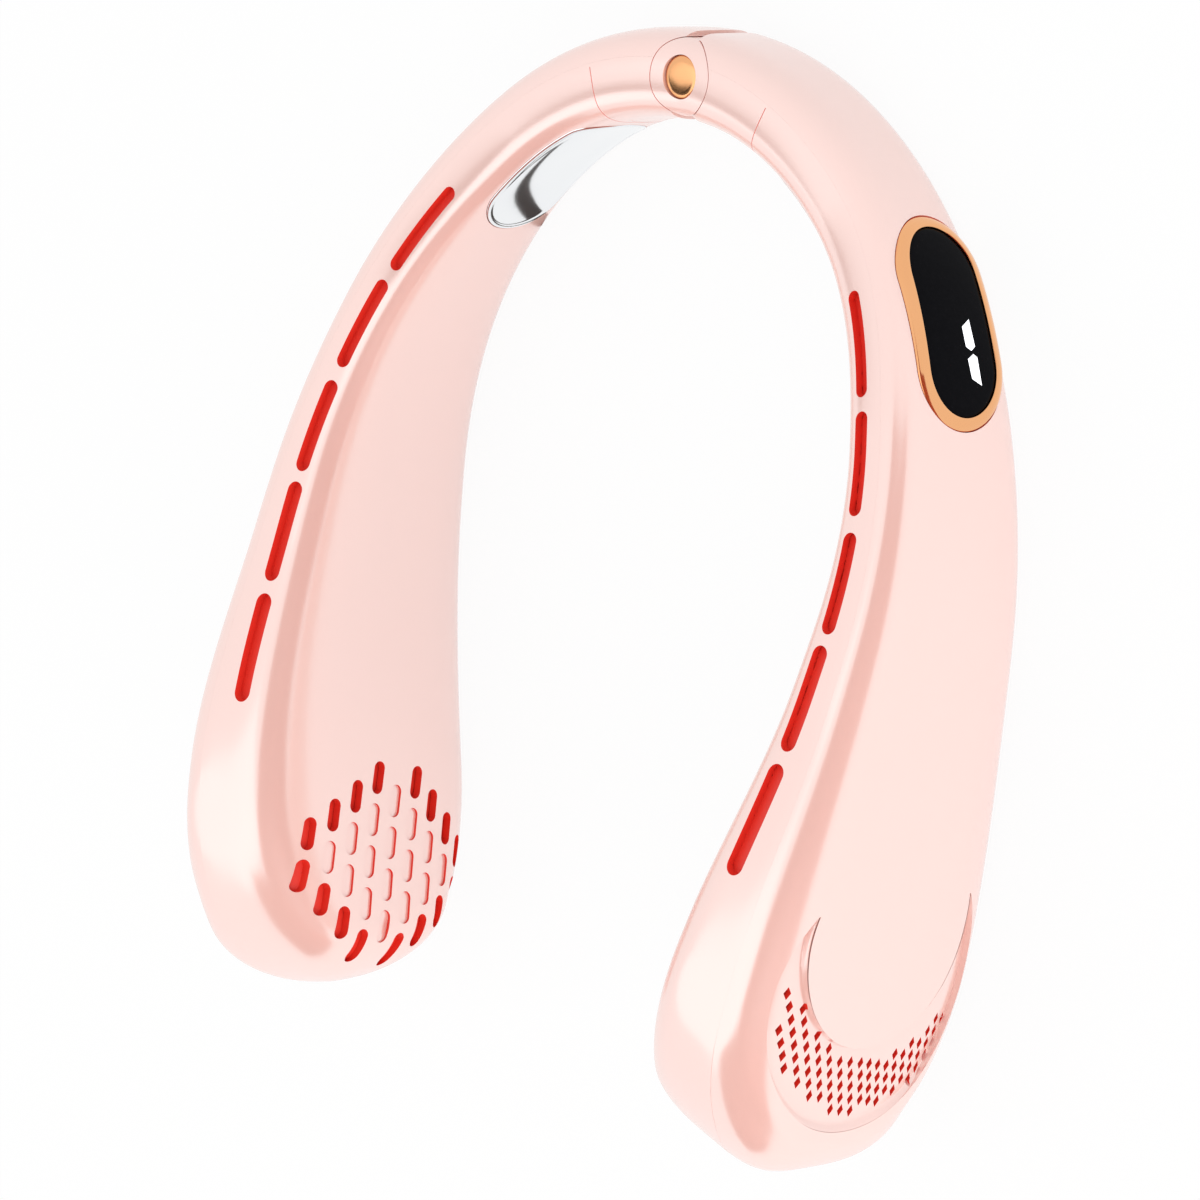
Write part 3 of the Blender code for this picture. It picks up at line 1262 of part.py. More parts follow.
def button_parts(outer_shell):
    """Two capsule buttons in the left arm's outer face, over switches on one board."""
    buttons = []
    half_pitch = 0.5 * (BUTTON_LENGTH + BUTTON_SPACE)
    board_length = 2.0 * (half_pitch + SWITCH_RADIUS + BUTTON_BOARD_MARGIN)
    board_frame = station(BUTTON_ROW_ALONG)
    stack = (WALL + BUTTON_GAP + chord_gap() + button_sagitta() + FLANGE_THICKNESS + BUTTON_TRAVEL + FIT
             + board_drift(half_pitch))
    board_face = 0.5 * section_thickness(BUTTON_ROW_ALONG) - stack - SWITCH_HEIGHT
    board = local_prism("button_board", board_frame, box_outline(board_length, BUTTON_BOARD_HEIGHT),
                        board_face - BOARD_THICKNESS, board_face, "circuit_board", True)
    for name, offset in (("power_button", -half_pitch), ("cooling_button", half_pitch)):
        along = BUTTON_ROW_ALONG + offset
        frame = station(along)
        face = 0.5 * section_thickness(along)
        hole = local_prism(name + "_hole", frame, capsule_outline(BUTTON_LENGTH + 2.0 * BUTTON_GAP,
                                                                  BUTTON_HEIGHT + 2.0 * BUTTON_GAP),
                           face - WALL - PROUD_CUT, face + PROUD_CUT, None, True)
        cut(outer_shell, hole)
        flange_top = face - WALL - BUTTON_GAP - button_sagitta() - chord_gap()
        button = local_prism(name, frame, capsule_outline(BUTTON_LENGTH, BUTTON_HEIGHT), flange_top,
                             face + BUTTON_PROUD, "pink_plastic", True, smooth=True)
        flange = local_prism(name + "_flange", frame,
                             capsule_outline(BUTTON_LENGTH + 2.0 * FLANGE_MARGIN,
                                             BUTTON_HEIGHT + 2.0 * FLANGE_MARGIN),
                             flange_top - FLANGE_THICKNESS, flange_top, None, True)
        combine(button, flange, "UNION")
        origin = frame[0]
        move_origin(button, Vector((-origin.x, origin.y, origin.z)))
        buttons.append(button)
        dome = local_prism(name + "_switch", board_frame, circle_outline(SWITCH_RADIUS, 12, (offset, 0.0)),
                           board_face - 0.5 * BOARD_THICKNESS, board_face + SWITCH_HEIGHT, None, True)
        combine(board, dome, "UNION")
    return buttons, board


def board_drift(reach):
    """How far the bent arm leaves the straight board between its middle and a button."""
    return reach * reach / (2.0 * ARCH_HALF_WIDTH)


def button_sagitta():
    """How far the curved wall falls away over a button's flange."""
    half = 0.5 * BUTTON_LENGTH + FLANGE_MARGIN
    return half * half / (2.0 * ARCH_HALF_WIDTH)


def charging_socket(shells):
    """A flat metal socket that looks out of the tip's lower side, and its window in both shells."""
    start = ARM_LENGTH - TIP_ROUND
    outward = -SOCKET_SLOPE
    along = start + TIP_ROUND * math.cos(outward)
    origin, along_axis, across_axis, rise_axis = station(along)
    tall = 0.5 * section_height(along)
    direction = (along_axis * math.cos(outward) - rise_axis * math.sin(outward)).normalized()
    normal = direction.cross(across_axis)
    mouth = station(along)[0] - rise_axis * tall * math.sin(outward) - direction * SOCKET_SINK

    def block(name, width, height, back, front, finish):
        vertices, faces = [], []
        outline = box_outline(width, height)
        more, sides = prism_parts([outline], lambda p: mouth + across_axis * p[0] + normal * p[1] - direction * back,
                                  lambda p: mouth + across_axis * p[0] + normal * p[1] + direction * front)
        item = add_mesh(name, vertices + more, faces + sides, finish)
        face_outwards(item)
        return item

    socket = block("charging_socket", SOCKET_WIDTH, SOCKET_HEIGHT, SOCKET_LENGTH, 0.0, "steel")
    hollow = block("socket_hollow", SOCKET_WIDTH - 2.0 * SOCKET_WALL, SOCKET_HEIGHT - 2.0 * SOCKET_WALL,
                   SOCKET_LENGTH - SOCKET_WALL, PROUD_CUT, None)
    cut(socket, hollow)
    tongue = block("socket_tongue", SOCKET_TONGUE_WIDTH, SOCKET_TONGUE_THICKNESS, SOCKET_LENGTH - 0.5 * SOCKET_WALL,
                   -SOCKET_WALL, None)
    combine(socket, tongue, "UNION")
    window = block("socket_window", SOCKET_WIDTH + 2.0 * FIT, SOCKET_HEIGHT + 2.0 * FIT, SOCKET_LENGTH + FIT,
                   OVERRUN, None)
    for shell in shells:
        cut(shell, window)
    return socket


def attach(pieces, pivot):
    for piece in pieces:
        piece.parent = pivot
        piece.matrix_parent_inverse = Matrix.Translation(-pivot.location)


def build():
    clear_scene()
    pivot = bpy.data.objects.new("right_arm_pivot", None)
    pivot.location = Vector((0.0, HINGE_Y, 0.0))
    bpy.context.scene.collection.objects.link(pivot)
    left_hinge, right_hinge = hinge_parts()
    attach(right_hinge, pivot)
    for side, mirrored in (("left", True), ("right", False)):
        shells = arm_shells(side, mirrored)
        pieces = list(shells)
        pieces.append(hinge_cover(side, mirrored))
        pieces.append(air_duct(side, mirrored))
        pieces.append(blower_scroll(side, mirrored))
        pieces.append(impeller_wheel(side, mirrored))
        fixed, turning = motor_parts(side, mirrored)
        pieces += fixed + turning
        pieces += scroll_screws(side, mirrored)
        pieces.append(outer_grille(side, mirrored))
        pieces += cooling_stack(side, mirrored)
        pieces.append(battery(side, mirrored))
        if mirrored:
            buttons, board = button_parts(shells[1])
            pieces += buttons + [board]
        else:
            pieces += display_parts(shells[1])
            pieces.append(control_board())
            pieces.append(charging_socket(shells))
            attach(pieces, pivot)


build()
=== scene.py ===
import logging
import math
from dataclasses import dataclass
from enum import Enum
from typing import Callable, Optional, Sequence

import bpy
import numpy as np
from mathutils import Matrix, Quaternion, Vector
from mathutils.bvhtree import BVHTree
from mathutils.interpolate import poly_3d_calc


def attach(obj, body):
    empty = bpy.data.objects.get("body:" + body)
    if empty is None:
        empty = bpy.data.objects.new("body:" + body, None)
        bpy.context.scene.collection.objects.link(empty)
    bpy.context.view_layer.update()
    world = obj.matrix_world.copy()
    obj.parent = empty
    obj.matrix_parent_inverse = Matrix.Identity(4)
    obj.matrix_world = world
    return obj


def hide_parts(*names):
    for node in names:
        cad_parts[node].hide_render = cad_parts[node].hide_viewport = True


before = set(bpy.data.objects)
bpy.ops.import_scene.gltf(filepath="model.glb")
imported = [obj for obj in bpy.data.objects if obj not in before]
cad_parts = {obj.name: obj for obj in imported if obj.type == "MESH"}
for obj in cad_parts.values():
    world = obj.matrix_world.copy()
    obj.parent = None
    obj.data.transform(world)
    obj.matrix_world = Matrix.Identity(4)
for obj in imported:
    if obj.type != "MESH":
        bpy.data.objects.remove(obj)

log = logging.getLogger("neck_fan")

Piece = bpy.types.Object
Array = np.ndarray
Triple = tuple[float, float, float]
Pairs = tuple[tuple[float, float], ...]
Profile = Sequence[tuple[float, float]]

HAIRLINE = 0.00001
SEAM = 0.00012
CUT_DEPTH = 0.004
CUT_HEIGHT = 0.002
MERGE = 0.000002
FINE_MERGE = 0.000001
SMOOTH_ANGLE = 32.0
SOFT_ANGLE = 40.0


class Side(Enum):
    """The two arms; the value is the sign of X on that side."""

    LEFT = -1
    RIGHT = 1

    @property
    def word(self) -> str:
        """The side's name as node names spell it."""
        return self.name.lower()

    @property
    def body(self) -> str:
        """The body that the arm rides on."""
        return self.word + "_arm"


class Face(Enum):
    """The arm's two wide faces; the value is the sign of the across axis."""

    INNER = -1
    OUTER = 1


# Bench: the modelling tools


class Bench:
    """Modelling operators, each with its own clean selection."""

    @staticmethod
    def choose(item: Piece) -> None:
        """Makes an object the only selected and the active one.

        Args:
            item: the object.
        """
        bpy.ops.object.select_all(action="DESELECT")
        item.select_set(True)
        bpy.context.view_layer.objects.active = item

    @staticmethod
    def take(name: str) -> Piece:
        """Names the primitive that was just added.

        Args:
            name: the object's new name.

        Returns:
            The primitive's object.
        """
        item = bpy.context.active_object
        item.name = name
        item.data.name = name
        return item

    @staticmethod
    def edit(item: Piece, action: Callable[[], None]) -> None:
        """Runs an action in edit mode on the whole mesh.

        Args:
            item: the object to edit.
            action: what to do while all of its mesh is selected.
        """
        Bench.choose(item)
        bpy.ops.object.mode_set(mode="EDIT")
        bpy.ops.mesh.select_all(action="SELECT")
        action()
        bpy.ops.object.mode_set(mode="OBJECT")

    @staticmethod
    def apply(item: Piece, kind: str, **settings: object) -> None:
        """Adds a modifier and applies it.

        Args:
            item: the object to change.
            kind: the modifier's type.
            **settings: the modifier's properties.
        """
        Bench.choose(item)
        step = item.modifiers.new(kind.lower(), kind)
        for key, value in settings.items():
            setattr(step, key, value)
        bpy.ops.object.modifier_apply(modifier=step.name)

    @staticmethod
    def carve(item: Piece, tool: Piece, operation: str = "DIFFERENCE") -> None:
        """Applies a Boolean, keeps the tool's materials on the cut walls and removes the tool.

        Args:
            item: the object to change.
            tool: the closed mesh that cuts or joins it.
            operation: the Boolean's operation.
        """
        Bench.apply(item, "BOOLEAN", operation=operation, object=tool, solver="EXACT",
                    material_mode="TRANSFER")
        mesh = tool.data
        bpy.data.objects.remove(tool)
        bpy.data.meshes.remove(mesh)

    @staticmethod
    def move(item: Piece, place: Callable[[Array], Array]) -> None:
        """Sends each vertex through a function.

        Args:
            item: the object whose mesh moves.
            place: takes and gives an array of points, one in each row.
        """
        mesh = item.data
        points = np.empty(len(mesh.vertices) * 3)
        mesh.vertices.foreach_get("co", points)
        points = place(points.reshape(-1, 3))
        mesh.vertices.foreach_set("co", np.ascontiguousarray(points).ravel())
        mesh.update()

    @staticmethod
    def sheet(name: str, rows: int, columns: int, place: Callable[[Array, Array], Array]) -> Piece:
        """A grid primitive bent onto a surface.

        Args:
            name: the object's name.
            rows: faces along the first direction.
            columns: faces along the second direction.
            place: takes two arrays from 0 to 1 and gives the points.

        Returns:
            The bent sheet.
        """
        bpy.ops.object.select_all(action="DESELECT")
        bpy.ops.mesh.primitive_grid_add(x_subdivisions=rows, y_subdivisions=columns, size=1.0)
        item = Bench.take(name)
        Bench.move(item, lambda p: place(p[:, 0] + 0.5, p[:, 1] + 0.5))
        return item

    @staticmethod
    def close(item: Piece) -> None:
        """Merges doubled points, such as a pole or a ring's joint, and turns the faces outwards.

        Args:
            item: the object to clean.
        """
        def clean() -> None:
            """Runs the three operators on the whole mesh."""
            bpy.ops.mesh.remove_doubles(threshold=MERGE)
            bpy.ops.mesh.dissolve_degenerate(threshold=0.1 * MERGE)
            bpy.ops.mesh.normals_make_consistent(inside=False)

        Bench.edit(item, clean)

    @staticmethod
    def merge(item: Piece, distance: float = MERGE) -> None:
        """Merges doubled points where a sheet meets itself or runs into a pole."""
        Bench.edit(item, lambda: bpy.ops.mesh.remove_doubles(threshold=distance))

    @staticmethod
    def outward(item: Piece) -> None:
        """Turns all faces of a closed mesh outwards."""
        Bench.edit(item, lambda: bpy.ops.mesh.normals_make_consistent(inside=False))

    @staticmethod
    def cap(item: Piece, distance: float = MERGE) -> None:
        """Merges a tube's doubled points, fills its open ends and turns its faces outwards.

        Args:
            item: the tube.
            distance: how near two points must be to merge.
        """
        def fill() -> None:
            """Runs the operators on the whole mesh."""
            bpy.ops.mesh.remove_doubles(threshold=distance)
            bpy.ops.mesh.select_all(action="SELECT")
            bpy.ops.mesh.fill_holes(sides=0)
            bpy.ops.mesh.normals_make_consistent(inside=False)

        Bench.edit(item, fill)

    @staticmethod
    def join(parts: Sequence[Piece], name: str) -> Piece:
        """Joins pieces into the first one.

        Args:
            parts: the pieces.
            name: the joined piece's name.

        Returns:
            The joined piece.
        """
        Bench.choose(parts[0])
        for part in parts[1:]:
            part.select_set(True)
        if len(parts) > 1:
            bpy.ops.object.join()
        parts[0].name = name
        parts[0].data.name = name
        return parts[0]

    @staticmethod
    def face_like(item: Piece, direction: Callable[[Vector], Vector]) -> None:
        """Flips an open sheet if its faces look the wrong way.

        Args:
            item: the sheet.
            direction: the side that a face has to look to, from its middle.
        """
        total = sum(f.normal.dot(direction(f.center)) * f.area for f in item.data.polygons)
        if total < 0.0:
            Bench.edit(item, bpy.ops.mesh.flip_normals)

    @staticmethod
    def capsule_block(name: str, length: float, width: float, low: float, high: float,
                      bends: int = 0, round_steps: int = 32) -> Piece:
        """An upright block with a capsule outline, centred on the origin.

        Args:
            name: the object's name.
            length: the whole length, along X.
            width: the width, along Y.
            low: the lowest Z.
            high: the highest Z.
            bends: cuts across the block that let it bend.
            round_steps: sides of the two round ends together.

        Returns:
            The block.
        """
        bpy.ops.object.select_all(action="DESELECT")
        bpy.ops.mesh.primitive_cylinder_add(vertices=round_steps, radius=0.5 * width, depth=high - low,
                                            location=(0.0, 0.0, 0.5 * (low + high)),
                                            rotation=(0.0, 0.0, math.pi / round_steps))
        item = Bench.take(name)
        bpy.ops.object.transform_apply(location=True, rotation=True, scale=True)
        for sign in (-1.0, 1.0):
            for vertex in item.data.vertices:
                vertex.select = vertex.co.x * sign > 0.0
            for group in (item.data.edges, item.data.polygons):
                for part in group:
                    part.select = all(item.data.vertices[i].select for i in part.vertices)
            bpy.ops.object.mode_set(mode="EDIT")
            bpy.ops.transform.translate(value=(sign * 0.5 * (length - width), 0.0, 0.0))
            bpy.ops.object.mode_set(mode="OBJECT")
        for i in range(bends):
            middle = ((length - width) * ((i + 0.5) / bends - 0.5), 0.0, 0.0)
            Bench.edit(item, lambda: bpy.ops.mesh.bisect(plane_co=middle, plane_no=(1.0, 0.0, 0.0)))
        return item

    @staticmethod
    def turned(name: str, profile: Profile, place: Matrix, steps: int) -> Piece:
        """A profile spun once round its axis.

        Args:
            name: the object's name.
            profile: (radius, height) pairs, closed by the spin's axis or by themselves.
            place: takes the axis from +Z to its place.
            steps: faces round the axis.

        Returns:
            The turned piece.
        """
        ring = list(profile)
        rows = len(ring) - 1

        def shape(u: Array, v: Array) -> Array:
            """Places on the profile: u runs round the axis and v along the profile."""
            index = np.rint(v * rows).astype(int)
            radius = np.array([p[0] for p in ring])[index]
            height = np.array([p[1] for p in ring])[index]
            angle = 2.0 * math.pi * u
            points = np.stack([radius * np.cos(angle), radius * np.sin(angle), height], axis=1)
            return points @ np.array(place.to_3x3()).T + np.array(place.translation)

        item = Bench.sheet(name, steps, rows, shape)
        Bench.close(item)
        return item

    @staticmethod
    def soften(item: Piece, degrees: float = SMOOTH_ANGLE) -> None:
        """Shades a piece smooth up to an angle, past which an edge stays sharp."""
        Bench.choose(item)
        bpy.ops.object.shade_smooth_by_angle(angle=math.radians(degrees))

    @staticmethod
    def coat(item: Piece, material: bpy.types.Material) -> Piece:
        """Adds a material to a piece and gives the piece back."""
        item.data.materials.append(material)
        return item

    @staticmethod
    def dress(item: Piece, material: bpy.types.Material, side: Side = Side.RIGHT,
              degrees: float = SMOOTH_ANGLE) -> None:
        """Gives a piece its material, its side and its shading.

        Args:
            item: the piece, as it is on the right arm.
            material: what it is made of.
            side: the arm that it belongs to.
            degrees: the angle past which an edge stays sharp.
        """
        Bench.coat(item, material)
        if side is Side.LEFT:
            Bench.mirror(item)
        Bench.soften(item, degrees)

    @staticmethod
    def borrow_normals(item: Piece, skin: Piece, reach: float = 0.00002) -> None:
        """Gives a carved shell the clean shading of the sheet that it was made from.

        Args:
            item: the carved shell.
            skin: the uncut sheet, which is removed.
            reach: how near the sheet a face must lie to take its shading.
        """
        Bench.soften(item)
        mesh, source = item.data, skin.data
        places = [v.co.copy() for v in source.vertices]
        normals = [v.normal.copy() for v in source.vertices]
        corners = [tuple(f.vertices) for f in source.polygons]
        tree = BVHTree.FromPolygons(places, corners)
        found: dict[int, Optional[Vector]] = {}

        def normal_at(index: int) -> Optional[Vector]:
            """The sheet's normal at one of the shell's vertices, or None where the sheet isn't near."""
            if index not in found:
                spot, _, face, gap = tree.find_nearest(mesh.vertices[index].co)
                found[index] = None
                if gap < reach:
                    weights = poly_3d_calc([places[k] for k in corners[face]], spot)
                    total = sum((normals[k] * w for k, w in zip(corners[face], weights)), Vector())
                    found[index] = total.normalized()
            return found[index]

        loops = np.empty(len(mesh.loops) * 3)
        mesh.corner_normals.foreach_get("vector", loops)
        loops = loops.reshape(-1, 3)
        for face in mesh.polygons:
            nearby = [normal_at(i) for i in face.vertices]
            if any(n is None or n.dot(face.normal) < 0.8 for n in nearby):
                continue
            for loop, normal in zip(face.loop_indices, nearby):
                loops[loop] = normal
        mesh.normals_split_custom_set([tuple(n) for n in loops])
        bpy.data.objects.remove(skin)
        bpy.data.meshes.remove(source)

    @staticmethod
    def mirror(item: Piece) -> None:
        """Turns a right-hand piece into its left-hand twin, before its normals are set."""
        item.data.transform(Matrix.Diagonal((-1.0, 1.0, 1.0, 1.0)))
        Bench.edit(item, bpy.ops.mesh.flip_normals)

    @staticmethod
    def finish(item: Piece, body: str, slot: str, replaces: Sequence[str] = ()) -> None:
        """Hands a piece over to the frame.

        Args:
            item: the finished piece.
            body: the body that it rides on.
            slot: the record's material slot; not used.
            replaces: the CAD nodes that it stands for.
        """
        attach(item, body)
        if replaces:
            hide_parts(*replaces)
        log.info("%s: %d faces on %s", item.name, len(item.data.polygons), body)


# Shading


class Flow:
    """A shader value that Python arithmetic can be done on."""

    def __init__(self, shader: "Shader", socket: bpy.types.NodeSocket) -> None:
        """Wraps an output socket of a shader's node tree."""
        self.shader = shader
        self.socket = socket

    def _math(self, operation: str, other: "Flow | float", swapped: bool = False) -> "Flow":
        """Adds a Math node between this value and another one."""
        pair = (other, self) if swapped else (self, other)
        return self.shader.node("ShaderNodeMath", {"operation": operation}, {0: pair[0], 1: pair[1]})

    def __add__(self, other: "Flow | float") -> "Flow":
        """The sum."""
        return self._math("ADD", other)

    def __radd__(self, other: float) -> "Flow":
        """The sum, reflected."""
        return self._math("ADD", other, True)

    def __sub__(self, other: "Flow | float") -> "Flow":
        """The difference."""
        return self._math("SUBTRACT", other)

    def __rsub__(self, other: float) -> "Flow":
        """The difference, reflected."""
        return self._math("SUBTRACT", other, True)

    def __mul__(self, other: "Flow | float") -> "Flow":
        """The product."""
        return self._math("MULTIPLY", other)

    def __rmul__(self, other: float) -> "Flow":
        """The product, reflected."""
        return self._math("MULTIPLY", other, True)

    def __pow__(self, other: "Flow | float") -> "Flow":
        """The power."""
        return self._math("POWER", other)

    def larger(self, other: "Flow | float") -> "Flow":
        """The larger of the two values."""
        return self._math("MAXIMUM", other)


class Shader:
    """Builds one material's node tree."""

    def __init__(self, name: str) -> None:
        """Starts a material with a Principled shader.

        Args:
            name: the material's name.
        """
        self.material = bpy.data.materials.new(name)
        self.material.use_nodes = True
        self.tree = self.material.node_tree
        self.surface = self.tree.nodes["Principled BSDF"]
        self.place: Optional[Flow] = None

    def node(self, kind: str, settings: dict, inputs: dict, output: "int | str" = 0) -> Flow:
        """Adds a node.

        Args:
            kind: the node's type.
            settings: its properties, set before its sockets.
            inputs: values or flows by socket name or number.
            output: the socket that is returned.

        Returns:
            The chosen output.
        """
        made = self.tree.nodes.new(kind)
        for key, value in settings.items():
            setattr(made, key, value)
        for key, value in inputs.items():
            if isinstance(value, Flow):
                self.tree.links.new(value.socket, made.inputs[key])
            else:
                made.inputs[key].default_value = value
        return Flow(self, made.outputs[output])

    def coords(self) -> Flow:
        """Object coordinates in metres.

        Returns:
            The coordinates, from one node for the whole material.
        """
        if self.place is None:
            self.place = self.node("ShaderNodeTexCoord", {}, {}, "Object")
        return self.place

    def noise(self, size: float, detail: float = 3.0, rough: float = 0.5) -> Flow:
        """Noise round a half, whose features have a size in metres."""
        return self.node("ShaderNodeTexNoise", {"noise_dimensions": "3D"},
                         {"Vector": self.coords(), "Scale": 1.0 / size, "Detail": detail, "Roughness": rough})

    def blend(self, share: "Flow | float", first: Sequence[float], second: Sequence[float]) -> Flow:
        """Mixes two colours; the share is how much of the second one there is."""
        return self.node("ShaderNodeMix", {"data_type": "RGBA"},
                         {"Factor": share, 6: (*first, 1.0), 7: (*second, 1.0)}, 2)

    def bump(self, height: Flow, depth: float) -> Flow:
        """A normal bumped by a height, whose 1 is the depth in metres."""
        return self.node("ShaderNodeBump", {}, {"Strength": 1.0, "Distance": depth, "Height": height})

    def wire(self, **sockets: "Flow | float | Sequence[float]") -> bpy.types.Material:
        """Sets the Principled shader's sockets.

        Args:
            **sockets: flows or values by socket name, with _ for a space.

        Returns:
            The finished material.
        """
        for key, value in sockets.items():
            target = self.surface.inputs[key.replace("_", " ")]
            if isinstance(value, Flow):
                self.tree.links.new(value.socket, target)
            elif isinstance(value, tuple):
                target.default_value = (*value, 1.0) if len(value) == 3 and target.type == "RGBA" else value
            else:
                target.default_value = value
        return self.material


@dataclass(frozen=True)
class Moulded:
    """Moulded plastic with a soft gloss and a very fine skin."""

    name: str
    colour: Triple
    warm: Triple
    roughness: float
    coat: float
    coat_roughness: float = 0.2
    coat_ior: float = 1.5
    specular: float = 0.5
    skin: float = 0.00035
    skin_depth: float = 0.000004
    cloud: float = 0.03
    smudge: float = 0.006
    smudge_share: float = 0.12

    def material(self) -> bpy.types.Material:
        """Builds the plastic: slow colour clouds, uneven gloss and a fine skin.

        Returns:
            The material.
        """
        shader = Shader(self.name)
        cloud = shader.noise(self.cloud, 2.0)
        skin = shader.noise(self.skin, 2.0)
        colour = shader.blend(cloud, self.colour, self.warm)
        gloss = self.roughness + (shader.noise(self.smudge, 3.0) - 0.5) * (self.smudge_share * self.roughness)
        return shader.wire(Base_Color=colour, Roughness=gloss, Coat_Weight=self.coat,
                           Coat_Roughness=self.coat_roughness, Coat_IOR=self.coat_ior,
                           Specular_IOR_Level=self.specular, Normal=shader.bump(skin, self.skin_depth))


@dataclass(frozen=True)
class Plated:
    """Polished plating or bare metal, with faint drawn lines."""

    name: str
    colour: Triple
    tint: Triple
    roughness: float
    lines: float = 0.0
    ripple: float = 0.0
    relief: float = 0.00001
    cloud: float = 0.012
    smudge: float = 0.004
    smudge_share: float = 0.35
    wave: float = 0.0045

    def material(self) -> bpy.types.Material:
        """Builds the metal: a slow tint, smudged gloss, drawn lines and a faint ripple.

        Returns:
            The material.
        """
        shader = Shader(self.name)
        tint = shader.noise(self.cloud, 2.0)
        smudge = shader.noise(self.smudge, 4.0, 0.6)
        colour = shader.blend(tint, self.colour, self.tint)
        gloss = self.roughness + (smudge - 0.5) * (self.smudge_share * self.roughness)
        height = shader.noise(self.wave, 1.0) * self.ripple
        if self.lines > 0.0:
            band = shader.node("ShaderNodeTexWave", {"wave_type": "BANDS", "bands_direction": "Z"},
                               {"Vector": shader.coords(), "Scale": 900.0, "Distortion": 6.0,
                                "Detail": 3.0}, 1)
            height = height + band * self.lines
        return shader.wire(Base_Color=colour, Metallic=1.0, Roughness=gloss,
                           Normal=shader.bump(height, self.relief))


@dataclass(frozen=True)
class SmokedWindow:
    """Black display window: hard gloss over a near black back."""

    name: str = "smoked_window"
    back: Triple = (0.003, 0.003, 0.004)
    dusty: Triple = (0.010, 0.010, 0.012)
    dust: float = 0.0009
    roughness: float = 0.05
    dust_roughness: float = 0.03

    def material(self) -> bpy.types.Material:
        """Builds the window: a dark base with faint dust in its colour and gloss.

        Returns:
            The material.
        """
        shader = Shader(self.name)
        dust = shader.noise(self.dust, 4.0, 0.7)
        colour = shader.blend(dust ** 4.0, self.back, self.dusty)
        gloss = self.roughness + dust * self.dust_roughness
        return shader.wire(Base_Color=colour, Roughness=gloss, Specular_IOR_Level=0.02)


@dataclass(frozen=True)
class LitMark:
    """The display's lit segments."""

    name: str = "lit_mark"
    bright: Triple = (0.95, 0.96, 1.0)
    dim: Triple = (0.86, 0.88, 0.92)
    pixel: float = 0.0004
    glow: float = 0.9

    def material(self) -> bpy.types.Material:
        """Builds the segment: white, glowing, with a fine pixel grain.

        Returns:
            The material.
        """
        shader = Shader(self.name)
        colour = shader.blend(shader.noise(self.pixel, 2.0), self.bright, self.dim)
        return shader.wire(Base_Color=colour, Roughness=0.3, Emission_Color=colour,
                           Emission_Strength=self.glow)


@dataclass(frozen=True)
class Board:
    """Lacquered circuit board with faint copper runs."""

    name: str = "lacquered_board"

    def material(self) -> bpy.types.Material:
        """Builds the board: brick-like copper runs under green lacquer.

        Returns:
            The material.
        """
        shader = Shader(self.name)
        runs = shader.node("ShaderNodeTexBrick", {"offset": 0.37},
                           {"Vector": shader.coords(), "Scale": 220.0, "Mortar Size": 0.012,
                            "Color1": (0.02, 0.20, 0.08, 1.0), "Color2": (0.015, 0.16, 0.07, 1.0),
                            "Mortar": (0.10, 0.33, 0.14, 1.0)})
        return shader.wire(Base_Color=runs, Roughness=0.35, Coat_Weight=0.4)


@dataclass(frozen=True)
class ShrinkSleeve:
    """Blue shrink sleeve over the cells, finely creased."""

    name: str = "shrink_sleeve"
    blue: Triple = (0.03, 0.11, 0.40)
    # The creases' crests take this lighter blue and their hollows the plain blue.
    worn: Triple = (0.05, 0.17, 0.52)
    crease: float = 0.002
    crease_depth: float = 0.00004

    def material(self) -> bpy.types.Material:
        """Builds the sleeve: blue film with fine creases, a lighter blue on their crests.

        Returns:
            The material.
        """
        shader = Shader(self.name)
        crease = shader.noise(self.crease, 5.0, 0.65)
        colour = shader.blend(crease, self.blue, self.worn)
        return shader.wire(Base_Color=colour, Roughness=0.3, Normal=shader.bump(crease, self.crease_depth))


@dataclass(frozen=True)
class Winding:
    """Enamelled copper wire in layers."""

    name: str = "copper_winding"
    # Painted shade: the colour of the grooves between the turns, a darker copper than the wire's crests.
    groove: Triple = (0.42, 0.16, 0.06)
    wire: Triple = (0.80, 0.38, 0.18)
    wire_depth: float = 0.00005

    def material(self) -> bpy.types.Material:
        """Builds the winding: close ridges of wire, with painted shade darkening the grooves between them.

        Returns:
            The material.
        """
        shader = Shader(self.name)
        ridge = shader.node("ShaderNodeTexWave", {"wave_type": "RINGS"},
                            {"Vector": shader.coords(), "Scale": 1600.0, "Distortion": 0.4}, 1)
        colour = shader.blend(ridge, self.groove, self.wire)
        return shader.wire(Base_Color=colour, Metallic=0.85, Roughness=0.32,
                           Normal=shader.bump(ridge, self.wire_depth))


